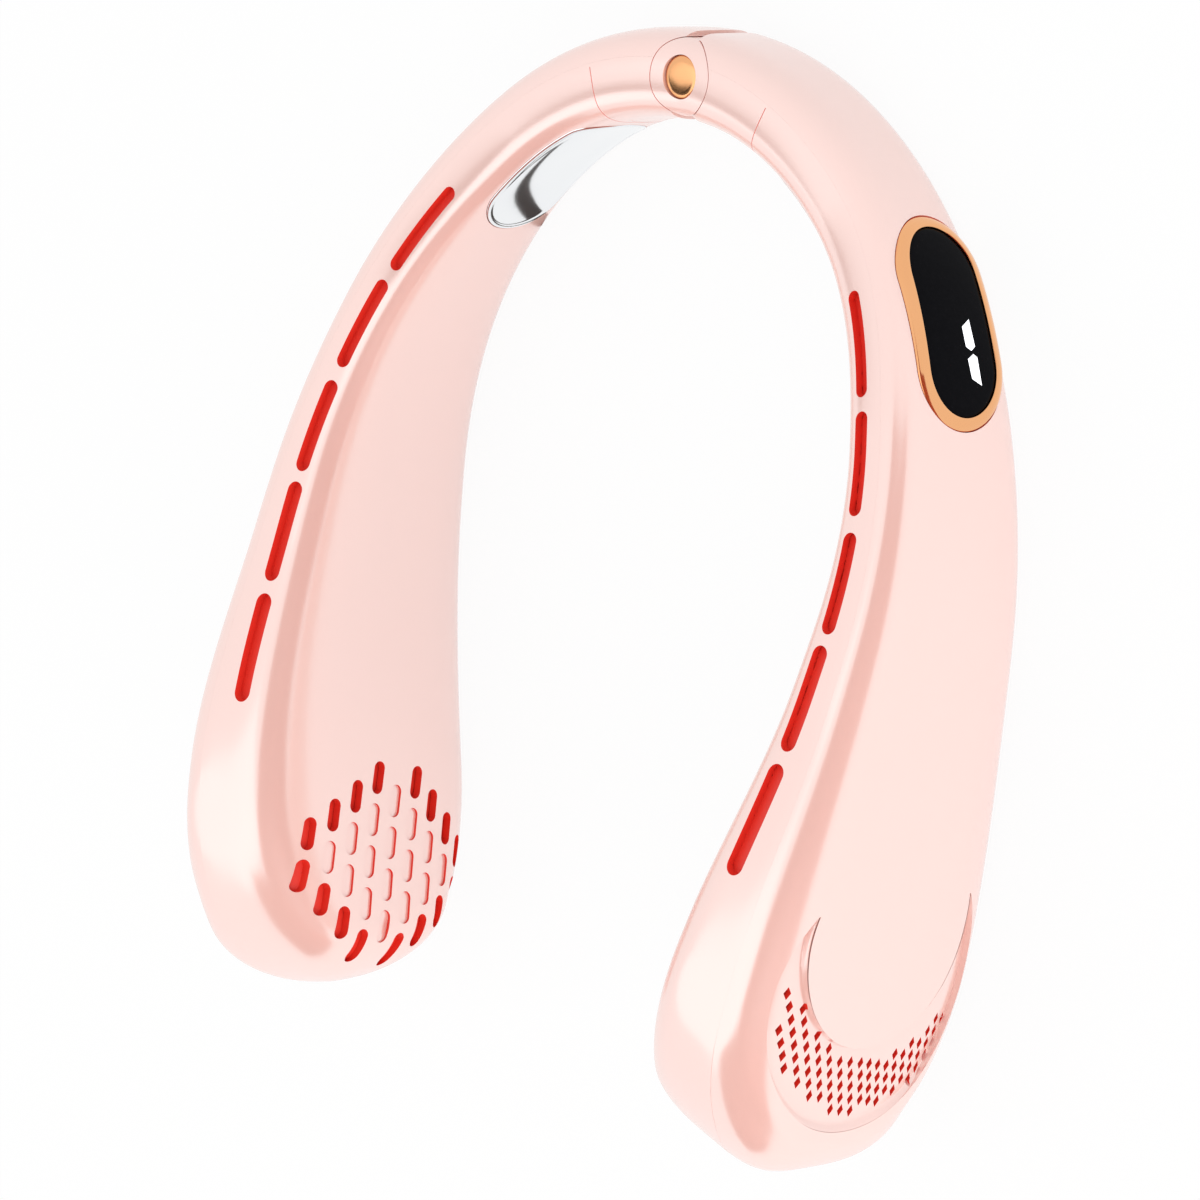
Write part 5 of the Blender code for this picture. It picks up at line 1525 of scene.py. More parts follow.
@dataclass
class Ring:
    """A capsule outline on a wide face that rims, windows and plates are bent along."""

    form: ArmForm
    face: Face
    start: float
    length: float
    height: float
    slope: float = 0.0
    grow: float = 0.0
    steps: int = 160
    rise: float = 0.0
    flat: float = 1.0

    def path(self, u: Array, inset: Array) -> tuple[Array, Array]:
        """Places along the outline, moved inwards.

        Args:
            u: from 0 to 1 once round.
            inset: distance inwards from the outline, up to half of its height.

        Returns:
            Distances along the arm and rises.
        """
        radius = 0.5 * self.height
        straight = self.length - self.height
        whole = 2.0 * straight + 2.0 * math.pi * radius
        arc = math.pi * radius
        share = round(self.steps * straight / whole) / self.steps
        run = np.interp(u % 1.0, [0.0, share, 0.5, 0.5 + share, 1.0],
                        [0.0, straight, straight + arc, 2.0 * straight + arc, whole])
        second = run >= straight + arc
        sign = np.where(second, -1.0, 1.0)
        t = np.where(second, run - (straight + arc), run)
        angle = 0.5 * math.pi - np.maximum(t - straight, 0.0) / radius
        out_x, out_y = sign * np.cos(angle), sign * np.sin(angle)
        out_x = np.where(t > straight, out_x, 0.0)
        along = sign * (np.minimum(t, straight) - 0.5 * straight) + (radius - inset) * out_x
        rise = (radius - inset) * out_y * (1.0 + self.grow * (along + 0.5 * self.length) / self.length)
        return self.start + 0.5 * self.length + along, rise + self.rise + self.slope * along

    def band(self, name: str, profile: Profile) -> Piece:
        """A profile swept round the outline.

        Args:
            name: the object's name.
            profile: (inset, height over the face) pairs, closed, or with both ends on the middle line.

        Returns:
            The closed band.
        """
        insets = np.array([p[0] for p in profile])
        heights = np.array([p[1] for p in profile])
        rows = len(profile) - 1

        def shape(u: Array, v: Array) -> Array:
            """Places on the profile: u runs round the outline and v along the profile."""
            index = np.rint(v * rows).astype(int)
            along, rise = self.path(u, insets[index])
            reach = self.form.side(along, self.flat * rise) + heights[index]
            return self.form.point(along, self.face.value * reach, rise)

        item = Bench.sheet(name, self.steps, rows, shape)
        Bench.close(item)
        return item

    def plate(self, name: str, profile: Profile, rings: int = 14,
              dome: float = 0.0) -> Piece:
        """A filled plate: underside, edge and face, the two faces closed along the middle line.

        Args:
            name: the object's name.
            profile: (inset, height) pairs from the foot of the outer edge to the flat face.
            rings: faces between the profile's end and the middle line.
            dome: how much higher the face is at its middle.

        Returns:
            The closed plate.
        """
        radius = 0.5 * self.height
        begin, foot = profile[0]
        inset, height = profile[-1]
        under = [(radius + (begin - radius) * k / 4, foot) for k in range(4)]
        shares = [k / rings for k in range(1, rings + 1)]
        face = [(inset + (radius - inset) * k, height + dome * (1.0 - (1.0 - k) ** 2)) for k in shares]
        return self.band(name, under + list(profile) + face)

    def opening(self, name: str) -> Piece:
        """A block in the outline, which cuts the shell open."""
        return self.plate(name, [(0.0, -CUT_DEPTH), (0.0, CUT_HEIGHT)], rings=2)


@dataclass
class Display(Assembly):
    """The window on the right arm: gold rim, smoked glass and two lit segments."""

    along: float = 0.06935
    length: float = 0.0365
    height: float = 0.0214
    turn: float = math.radians(-1.2)
    rise: float = -0.0006
    flat: float = 0.6
    grow: float = 0.04
    rim_width: float = 0.0022
    rim_section: Pairs = (
        (0.0, -0.0003), (0.00005, -0.00016), (0.00014, -0.00006), (0.0003, 0.00006), (0.0009, 0.00034),
        (0.0016, 0.00052), (0.0019, 0.00056), (0.00208, 0.00054), (0.00216, 0.00048), (0.0022, 0.00036))
    pane_edge: Pairs = (
        (0.0, 0.0), (0.00008, 0.00012), (0.0003, 0.0002), (0.0008, 0.00025))
    depth: float = 0.0015
    dome: float = 0.00025
    mark_thickness: float = 0.00003
    fit: float = 0.0001
    upper_mark: Pairs = (
        (0.06950, -0.00392), (0.07063, -0.00180), (0.07390, -0.00200),
        (0.07464, -0.00323), (0.07401, -0.00432))
    lower_mark: Pairs = (
        (0.07520, -0.00360), (0.07593, -0.00205), (0.07915, -0.00252),
        (0.08035, -0.00485), (0.07578, -0.00451))

    def ring(self, inset: float) -> Ring:
        """The window's outline, drawn in by an inset."""
        return Ring(self.form, Face.OUTER, self.along - 0.5 * self.length + inset, self.length - 2.0 * inset,
                    self.height - 2.0 * inset, math.tan(self.turn), self.grow, 220, self.rise, self.flat)

    def cutter(self) -> Piece:
        """The window's opening in the shell."""
        return Bench.coat(self.ring(0.0).opening("display_opening"), self.finishes.seam)

    def build(self) -> None:
        """Makes the rim, the glass and the segments."""
        foot = (0.0, -self.depth)
        section = [foot, *self.rim_section, (self.rim_width, -self.depth), foot]
        rim = self.ring(self.fit).band("display_rim", section)
        Bench.dress(rim, self.finishes.gold, degrees=SOFT_ANGLE)
        Bench.finish(rim, "right_arm", "rose_gold", ["display_bezel"])
        start = self.rim_width + 2.0 * self.fit
        pane = self.ring(start).plate("display_window", [foot, *self.pane_edge], 20, self.dome)
        Bench.dress(pane, self.finishes.window, degrees=SOFT_ANGLE)
        Bench.finish(pane, "right_arm", "dark_glass", ["display_glass"])
        marks = Bench.join([self.segment(self.upper_mark), self.segment(self.lower_mark)], "display_segments")
        Bench.dress(marks, self.finishes.mark)
        Bench.finish(marks, "right_arm", "dark_glass")

    def segment(self, corners: Profile) -> Piece:
        """One lit bar, a hair above the glass.

        Args:
            corners: its corners as places along the arm and rises.

        Returns:
            The bar.
        """
        bpy.ops.object.select_all(action="DESELECT")
        bpy.ops.mesh.primitive_circle_add(vertices=len(corners), radius=1.0, fill_type="NGON")
        item = Bench.take("segment")
        along = np.array([c[0] for c in corners])
        rise = np.array([c[1] for c in corners])
        reach = self.form.side(along, self.flat * rise) + self.pane_edge[-1][1] + self.dome + HAIRLINE
        Bench.move(item, lambda p: self.form.point(along, reach, rise))
        Bench.face_like(item, lambda p: Vector((1.0, 0.5, 0.0)))
        Bench.apply(item, "SOLIDIFY", thickness=self.mark_thickness, offset=0.0)
        return item


@dataclass
class CoolingPlate(Assembly):
    """The mirror plate that lies on the skin, with a polished bevel all round."""

    start: float = 0.0236
    end: float = 0.0648
    height_share: float = 0.75
    edge: Pairs = (
        (0.0, -0.0013), (0.0, 0.0), (0.00008, 0.00014), (0.0002, 0.0002), (0.00075, 0.00016),
        (0.00095, 0.00006), (0.00115, 0.00002))
    fit: float = 0.00012

    def ring(self, inset: float) -> Ring:
        """The plate's outline, taller where the arm is taller.

        Args:
            inset: how far it is drawn in.

        Returns:
            The outline.
        """
        length = self.end - self.start
        heights = [self.height_share * float(self.form.read(self.form.height, np.array([at]))[0])
                   for at in (self.start + 0.25 * length, self.end - 0.25 * length)]
        return Ring(self.form, Face.INNER, self.start + inset, length - 2.0 * inset,
                    heights[0] - 2.0 * inset, 0.0, (heights[1] - heights[0]) / heights[0])

    def cutter(self) -> Piece:
        """The plate's seat in the inner shell."""
        return Bench.coat(self.ring(0.0).opening("plate_opening"), self.finishes.seam)

    def build(self, side: Side) -> None:
        """Makes the plate: a raised bevel round a very slightly sunk mirror.

        Args:
            side: which arm.
        """
        item = self.ring(self.fit).plate(f"{side.word}_cold_plate", self.edge, 24)
        Bench.dress(item, self.finishes.mirror, side, SOFT_ANGLE)
        Bench.finish(item, side.body, "polished_plate", [f"{side.word}_cooling_plate"])


@dataclass
class Hinge(Assembly):
    """Two lapped knuckles, their covers and the pin's gold cap."""

    radius: float = 0.0070
    drum_low: float = -0.003
    drum_high: float = 0.03
    gap: float = 0.00035
    horn_outer: float = 0.0014
    horn_inner: float = 0.0032
    knuckle_overlap: float = 0.004
    tang_overlap: float = 0.0009
    tang_end: float = 0.0165
    tang_fit: float = 0.0006
    tang_side_share: float = 0.2
    pin_radius: float = 0.0020
    washer_radius: float = 0.0052
    washer_depth: float = 0.0008
    cap_radius: float = 0.0039
    cap_depth: float = 0.0016
    cap_sink: float = 0.0002
    cap_fit: float = 0.00008
    cap_edge: Pairs = (
        (0.0, 0.0005), (0.00008, 0.0003), (0.0003, 0.0001), (0.0006, 0.00004))
    nut_radius: float = 0.0034
    nut_depth: float = 0.0022
    nut_lift: float = 0.0010
    cover_start: float = 0.0052
    cover_end: float = 0.0207
    cover_half: float = 0.0070
    cover_thickness: float = 0.0013
    overrun: float = 0.002
    ring_steps: int = 96
    sleeve_steps: int = 60
    fit: float = 0.0003
    seam: float = 0.00016
    seam_depth: float = 0.00022
    sleeve_end: float = 0.0212

    def axis(self) -> Matrix:
        """The hinge's upright axis at the floor."""
        return Matrix.Translation((0.0, self.form.hinge_y, 0.0))

    def shell_cutter(self) -> Piece:
        """What clears the shells' ends from the knuckles.

        Returns:
            A fine drum on the hinge's axis.
        """
        radius, low, high = self.radius + self.seam, self.drum_low, self.drum_high
        profile = [(0.0, low), (radius, low), (radius, high), (0.0, high)]
        drum = Bench.turned("hinge_drum", profile, self.axis(), self.ring_steps)
        return Bench.coat(drum, self.finishes.seam)

    def sleeve_seam(self) -> Piece:
        """A fine groove round the inner half of the arm, where the hinge sleeve ends.

        Returns:
            The cutter.
        """
        steps = self.sleeve_steps
        angles = self.form.even_angles(0.47 * math.pi, 1.5 * math.pi, steps)

        def shape(u: Array, v: Array) -> Array:
            """Places on a small square that u carries round the arm."""
            corner = np.rint(v * 4).astype(int) % 4
            along = self.sleeve_end + self.seam * np.array([-0.5, 0.5, 0.5, -0.5])[corner]
            inset = np.array([self.seam_depth, self.seam_depth, -self.seam_depth, -self.seam_depth])[corner]
            wide, tall = self.form.half(along)
            angle = np.interp(u * steps, np.arange(steps + 1), angles)
            return self.form.point(along, *self.form.outline(angle, wide - inset, tall - inset))

        item = Bench.sheet("sleeve_seam", steps, 4, shape)
        Bench.cap(item, FINE_MERGE)
        return Bench.coat(item, self.finishes.seam)

    def bridge(self, name: str, reach: float) -> Piece:
        """The two arms' common section, carried across the hinge.

        Args:
            name: the object's name.
            reach: how far it runs into each arm.

        Returns:
            The open tube.
        """
        steps = self.ring_steps
        angles = self.form.even_angles(0.0, 2.0 * math.pi, steps)

        def shape(u: Array, v: Array) -> Array:
            """Places on the section: u runs from the left arm to the right one and v round it."""
            signed = reach * (2.0 * u - 1.0)
            along = np.abs(signed)
            wide, tall = self.form.half(along)
            angle = np.interp(v * steps, np.arange(steps + 1), angles)
            points = self.form.point(along, *self.form.outline(angle, wide, tall))
            points[:, 0] = np.copysign(points[:, 0], signed)
            points[:, 2] = np.maximum(points[:, 2], 0.0)
            return points

        item = Bench.sheet(name, 32, steps, shape)
        Bench.merge(item)
        return item

    def knuckle(self, side: Side) -> Piece:
        """One knuckle: the left arm's is the upper one.

        Args:
            side: which arm.

        Returns:
            The knuckle with its bar.
        """
        middle = float(self.form.origin[0][2])
        top = middle + 0.5 * self.form.hinge_height
        lower_top = middle - 0.5 * self.gap
        item = self.bridge(f"{side.word}_knuckle", self.radius + self.knuckle_overlap)
        Bench.face_like(item, lambda p: Vector((0.0, p.y - self.form.hinge_y, p.z - middle)))
        reference = item.copy()
        reference.data = item.data.copy()
        bpy.context.scene.collection.objects.link(reference)
        Bench.cap(item)
        Bench.coat(item, self.finishes.pink)
        bore = self.pin_radius + self.fit
        if side is Side.LEFT:
            seat, over, foot = self.cap_radius + self.cap_fit, top + self.overrun, middle + 0.5 * self.gap
            floor = top - self.cap_sink - self.cap_depth - self.fit
            ring = [(bore, foot), (self.radius, foot), (self.radius, over), (seat, over), (seat, floor),
                    (bore, floor), (bore, foot)]
        else:
            washer, nut = self.washer_radius + self.fit, self.nut_radius + self.fit
            foot, nut_top = -self.overrun, self.nut_lift + self.nut_depth + self.fit
            floor = lower_top - self.washer_depth - self.fit
            ring = [(nut, foot), (self.radius, foot), (self.radius, lower_top), (washer, lower_top),
                    (washer, floor), (bore, floor), (bore, nut_top), (nut, nut_top), (nut, foot)]
        tool = Bench.turned("knuckle_drum", ring, self.axis(), self.ring_steps)
        Bench.carve(item, Bench.coat(tool, self.finishes.pink), "INTERSECT")
        Bench.carve(item, self.tang(side), "UNION")
        Bench.borrow_normals(item, reference)
        return item

    def tang(self, side: Side) -> Piece:
        """The bar that holds a knuckle inside its arm.

        Args:
            side: which arm.

        Returns:
            The bar.
        """
        upper = side is Side.LEFT
        begin = self.radius - self.tang_overlap
        arch = 1.0 - self.tang_side_share

        def shape(u: Array, v: Array) -> Array:
            """Places on half of the section: v runs over the arch and back along the flat side."""
            along = begin + (self.tang_end - begin) * u
            wide, tall = self.form.half(along, self.form.wall + self.tang_fit)
            across, rise = self.form.outline(math.pi * np.clip(v / arch, 0.0, 1.0), wide, tall)
            across = np.where(v > arch, -wide + 2.0 * wide * (v - arch) / self.tang_side_share, across)
            rise = np.where(v > arch, self.gap, np.maximum(rise, self.gap))
            return self.form.point(along, across, rise if upper else -rise)

        item = Bench.sheet("tang", 8, 40, shape)
        Bench.cap(item)
        Bench.coat(item, self.finishes.pink)
        if upper:
            Bench.mirror(item)
        return item

    def cover_block(self, name: str, inset: float, low: float, high: float) -> Piece:
        """A block in the cover's outline: flat at the hinge end, round at the far end.

        Args:
            name: the object's name.
            inset: how far the outline is drawn in.
            low: its back, as a height over the inner face.
            high: its front.

        Returns:
            The block.
        """
        half = self.cover_half - inset
        begin, end = self.cover_start + inset, self.cover_end - inset

        def shape(u: Array, v: Array) -> Array:
            """Places on the cover's front: u runs away from the hinge and v upwards."""
            along = begin + (end - begin) * np.sin(0.5 * math.pi * u)
            into = np.clip((along - (end - half)) / half, 0.0, 1.0)
            rise = (2.0 * v - 1.0) * half * np.sqrt(np.maximum(1.0 - into * into, 0.0))
            return self.form.point(along, -(self.form.side(along, rise) + high), rise)

        item = Bench.sheet(name, 24, 28, shape)
        Bench.merge(item)
        Bench.face_like(item, lambda p: Vector((0.0, -1.0, 0.0)))
        Bench.apply(item, "SOLIDIFY", thickness=high - low, offset=-1.0)
        return item

    def cover_cutter(self) -> Piece:
        """The cover's opening in the inner shell."""
        block = self.cover_block("cover_opening", 0.0, -CUT_DEPTH, 0.75 * CUT_HEIGHT)
        return Bench.coat(block, self.finishes.seam)

    def build(self) -> None:
        """Makes both knuckles, both covers and the pin's gold cap."""
        for side in Side:
            knuckle = self.knuckle(side)
            Bench.finish(knuckle, side.body, "pink_plastic", [f"{side.word}_hinge_knuckle"])
            cover = self.cover_block(f"{side.word}_hinge_lid", SEAM, -self.cover_thickness, 0.0)
            Bench.dress(cover, self.finishes.pink, side)
            Bench.finish(cover, side.body, "pink_plastic", [f"{side.word}_hinge_cover"])
        top = float(self.form.origin[0][2]) + 0.5 * self.form.hinge_height - self.cap_sink
        floor, radius = top - self.cap_depth, self.cap_radius
        edge = [(radius - inset, top - drop) for inset, drop in self.cap_edge]
        crown = [(0.66 * radius, top - HAIRLINE), (0.33 * radius, top), (0.0, top)]
        profile = [(0.0, floor), (radius, floor), *edge, *crown]
        cap = Bench.turned("gold_cap", profile, self.axis(), self.ring_steps)
        Bench.dress(cap, self.finishes.gold, degrees=SOFT_ANGLE)
        Bench.finish(cap, "left_arm", "rose_gold", ["pin_cap"])


@dataclass
class Buttons(Assembly):
    """The two capsule buttons on the left arm's outer face."""

    alongs: tuple[float, float] = (0.0630, 0.0770)
    length: float = 0.0090
    height: float = 0.0056
    proud: float = 0.0005
    gap: float = 0.00015
    flange: float = 0.0008
    flange_low: float = -0.0030
    flange_high: float = -0.0023
    edge: Pairs = (
        (0.0, 0.0003), (0.0001, 0.0001), (0.0003, 0.0), (0.0006, 0.0), (0.0011, 0.00008), (0.0018, 0.00016))

    def cutter(self, along: float) -> Piece:
        """A button's opening in the shell.

        Args:
            along: how far along the arm its middle is.

        Returns:
            The cutter.
        """
        block = Bench.capsule_block("button_opening", self.length + 2.0 * self.gap,
                                    self.height + 2.0 * self.gap, -CUT_DEPTH, CUT_HEIGHT, bends=5)
        Bench.move(block, lambda p: self.form.on_face(Face.OUTER, p, along))
        Bench.outward(block)
        return Bench.coat(block, self.finishes.seam)

    def build(self) -> None:
        """Makes each button: a softly dished top, a rounded edge and a flange behind the shell."""
        foot = [(-self.flange, self.flange_low), (-self.flange, self.flange_high), (0.0, self.flange_high)]
        edge = [(inset, self.proud - drop) for inset, drop in self.edge]
        for name, along in zip(("power_button", "cooling_button"), self.alongs):
            ring = Ring(self.form, Face.OUTER, along - 0.5 * self.length, self.length, self.height)
            cap = ring.plate(f"{name}_cap", foot + edge, 6)
            Bench.dress(cap, self.finishes.pink, Side.LEFT, SOFT_ANGLE)
            Bench.finish(cap, name, "pink_plastic", [name])


@dataclass
class Shells(Assembly):
    """The two half shells of each arm, carved for everything that they carry."""

    slots: Slots
    intake: Intake
    crescent: Crescent
    display: Display
    plate: CoolingPlate
    hinge: Hinge
    buttons: Buttons
    widest: float = 0.07886
    highest: float = 0.05695
    deepest: float = 0.09552
    ease: float = 0.00035
    ledge_edge: float = 0.004
    slot_depth: float = 0.0035
    slot_height: float = 0.0015
    straight_steps: int = 150
    tip_steps: int = 44
    ring_steps: int = 64

    def points(self, face: Face, u: Array, v: Array, inset: float) -> Array:
        """Places on a half shell's outer or inner surface.

        Args:
            face: which of the two shells.
            u: from 0 at the hinge to 1 at the tip's pole.
            v: from 0 at the upper seam to 1 at the lower seam.
            inset: distance under the outer surface.

        Returns:
            One point in each row.
        """
        start = self.hinge.horn_inner if face is Face.INNER else self.hinge.horn_outer
        alongs = self.form.along_steps(start, self.straight_steps, self.tip_steps, inset)
        offset = 0.5 * HAIRLINE * face.value
        nominal = math.acos(self.form.seam_share ** (0.5 * self.form.corner_power))
        turn = 2.0 * math.pi if face is Face.INNER else 0.0
        base = self.form.even_angles(nominal, turn - nominal, self.ring_steps)
        eased = (base - base[0]) / (base[-1] - base[0])
        along = np.interp(u * (len(alongs) - 1), np.arange(len(alongs)), alongs)
        edge = self.form.seam(along, offset, inset)
        angle = edge + (turn - 2.0 * edge) * np.interp(v * self.ring_steps, np.arange(len(eased)), eased)
        across, rise = self.form.outline(angle, *self.form.half(along, inset))
        if face is Face.OUTER:
            across = across - self.crescent.ledge(along, rise) * np.clip(across / self.ledge_edge, 0.0, 1.0)
        points = self.form.point(along, across, rise)
        points[:, 2] = np.maximum(points[:, 2], inset)
        for axis, limit in ((0, self.widest - inset), (1, self.deepest - inset), (2, self.highest - inset)):
            over = points[:, axis] - limit + self.ease
            eased = limit - self.ease * np.exp(-np.maximum(over, 0.0) / self.ease)
            points[:, axis] = np.where(over > 0.0, eased, points[:, axis])
        return points

    def skin(self, name: str, face: Face) -> Piece:
        """The uncut outer sheet of a half shell, in the right arm's place.

        Args:
            name: the object's name.
            face: which of the two shells.

        Returns:
            The sheet.
        """
        item = Bench.sheet(name, self.straight_steps + self.tip_steps, self.ring_steps,
                           lambda u, v: self.points(face, u, v, 0.0))
        Bench.merge(item, FINE_MERGE)
        middle = self.form.place(0.5 * self.form.length)
        Bench.face_like(item, lambda p: face.value * Vector(middle.col[2][:3]))
        return item

    def blank(self, name: str, face: Face) -> Piece:
        """The closed half shell before it is carved.

        Args:
            name: the object's name.
            face: which of the two shells.

        Returns:
            The shell, in the right arm's place.
        """
        whole = 2 * self.ring_steps + 2

        def shape(u: Array, v: Array) -> Array:
            """Places round the wall: v runs over the outer surface, a seam, the inner one and a seam."""
            step = np.rint(v * whole).astype(int)
            outside = np.clip(step / self.ring_steps, 0.0, 1.0)
            inside = np.clip((2 * self.ring_steps + 1 - step) / self.ring_steps, 0.0, 1.0)
            outer = self.points(face, u, outside, 0.0)
            inner = self.points(face, u, inside, self.form.wall)
            use_outer = (step <= self.ring_steps) | (step == whole)
            outer_start = self.points(face, u, np.zeros_like(v), 0.0)
            outer = np.where((step == whole)[:, None], outer_start, outer)
            return np.where(use_outer[:, None], outer, inner)

        item = Bench.sheet(name, self.straight_steps + self.tip_steps, whole, shape)
        Bench.cap(item, FINE_MERGE)
        return item

    def build(self, side: Side) -> None:
        """Makes an arm's two shells.

        Args:
            side: which arm.
        """
        for face in Face:
            word = "inner" if face is Face.INNER else "outer"
            item = self.blank(f"{side.word}_{word}_casing", face)
            reference = self.skin("uncut_skin", face)
            Bench.coat(item, self.finishes.pink)
            for group in self.tools(side, face):
                Bench.carve(item, Bench.join(group, "cutters"))
            if side is Side.LEFT:
                Bench.mirror(item)
                Bench.mirror(reference)
            Bench.borrow_normals(item, reference)
            Bench.finish(item, side.body, "pink_plastic", [f"{side.word}_{word}_shell"])

    def tools(self, side: Side, face: Face) -> list[list[Piece]]:
        """A shell's cutters, in groups whose members don't touch one another.

        Args:
            side: which arm.
            face: which of its two shells.

        Returns:
            The groups, in the order in which they cut.
        """
        first = [self.hinge.shell_cutter()]
        if face is Face.INNER:
            second = [self.slots.cutter(index, -self.slot_depth, self.slot_height)
                      for index in range(len(self.slots.spans))]
            second += self.intake.cutters()
            second.append(self.plate.cutter())
            groups = [first, second, [self.hinge.cover_cutter(), self.hinge.sleeve_seam()]]
        else:
            second = [self.crescent.cutter()]
            if side is Side.RIGHT:
                second.append(self.display.cutter())
            else:
                second += [self.buttons.cutter(along) for along in self.buttons.alongs]
            groups = [first, second]
        if side is Side.RIGHT:
            groups.append([Socket(self.form, self.finishes).cutter()])
        return groups


@dataclass
class Socket(Assembly):
    """The charging socket in the right pod's tip."""

    width: float = 0.0092
    height: float = 0.0034
    length: float = 0.0068
    wall: float = 0.0003
    slope: float = math.radians(-18.0)
    sink: float = 0.0008
    gap: float = 0.00015
    tongue_size: Triple = (0.0066, 0.0007, 0.0058)
    tongue_depth: float = 0.0038
    tongue_bevel: float = 0.00012

    def place(self) -> Matrix:
        """The socket's mouth.

        Returns:
            A matrix with its X across, Y through the height and Z out of the mouth.
        """
        outward = -self.slope
        along = self.form.length - self.form.tip_round + self.form.tip_round * math.cos(outward)
        frame_here = self.form.place(along)
        tangent, rise, across = (Vector(frame_here.col[k][:3]) for k in range(3))
        tall = 0.5 * float(self.form.read(self.form.height, np.array([along]))[0])
        out = (tangent * math.cos(outward) - rise * math.sin(outward)).normalized()
        mouth = frame_here.translation - rise * tall * math.sin(outward) - out * self.sink
        normal = out.cross(across)
        made = Matrix([[across[r], normal[r], out[r]] for r in range(3)]).to_4x4()
        made.translation = mouth
        return made

    def block(self, name: str, grow: float, low: float, high: float) -> Piece:
        """A round-ended block through the socket's mouth.

        Args:
            name: the object's name.
            grow: how much wider than the socket it is on each side.
            low: its lower end, inside the mouth.
            high: its upper end, outside it.

        Returns:
            The block.
        """
        block = Bench.capsule_block(name, self.width + 2.0 * grow, self.height + 2.0 * grow, low, high)
        block.data.transform(self.place())
        Bench.outward(block)
        return block

    def cutter(self) -> Piece:
        """The socket's window in the shells."""
        return Bench.coat(self.block("socket_window", self.gap, -self.length, CUT_DEPTH), self.finishes.seam)

    def build(self) -> None:
        """Makes the drawn metal shell with its contact tongue."""
        item = Bench.coat(self.block("charging_port", 0.0, -self.length, 0.0), self.finishes.steel)
        hollow = self.block("port_hollow", -self.wall, -self.length + self.wall, CUT_HEIGHT)
        Bench.carve(item, Bench.coat(hollow, self.finishes.steel))
        bpy.ops.object.select_all(action="DESELECT")
        middle = (0.0, 0.0, -self.tongue_depth)
        bpy.ops.mesh.primitive_cube_add(size=1.0, location=middle, scale=self.tongue_size)
        tongue = Bench.take("port_tongue")
        bpy.ops.object.transform_apply(location=True, rotation=True, scale=True)
        Bench.apply(tongue, "BEVEL", width=self.tongue_bevel, segments=2)
        tongue.data.transform(self.place())
        Bench.carve(item, Bench.coat(tongue, self.finishes.window), "UNION")
        Bench.soften(item)
        Bench.finish(item, "right_arm", "steel", ["charging_socket"])


@dataclass
class Innards:
    """The CAD nodes that stay as they are, each with its finish."""

    finishes: Finishes

    def dress(self) -> None:
        """Gives every carried-over node its material."""
        metal = ("motor_shaft", "scroll_screw_1", "scroll_screw_2", "hinge_pin", "pin_nut", "friction_washer")
        boards = ("display_board", "control_board", "button_board")
        table = {
            "blower_scroll": self.finishes.red, "impeller": self.finishes.rotor,
            "motor_stator": self.finishes.copper, "cooler_tile": self.finishes.ceramic,
            "heat_sink": self.finishes.alloy, "battery": self.finishes.sleeve,
            **dict.fromkeys(metal, self.finishes.steel), **dict.fromkeys(boards, self.finishes.board)}
        for name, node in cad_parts.items():
            short = name.replace("left_", "").replace("right_", "")
            if short in table:
                node.data.materials.clear()
                node.data.materials.append(table[short])
                log.info("%s keeps its CAD shape", name)


# Studio


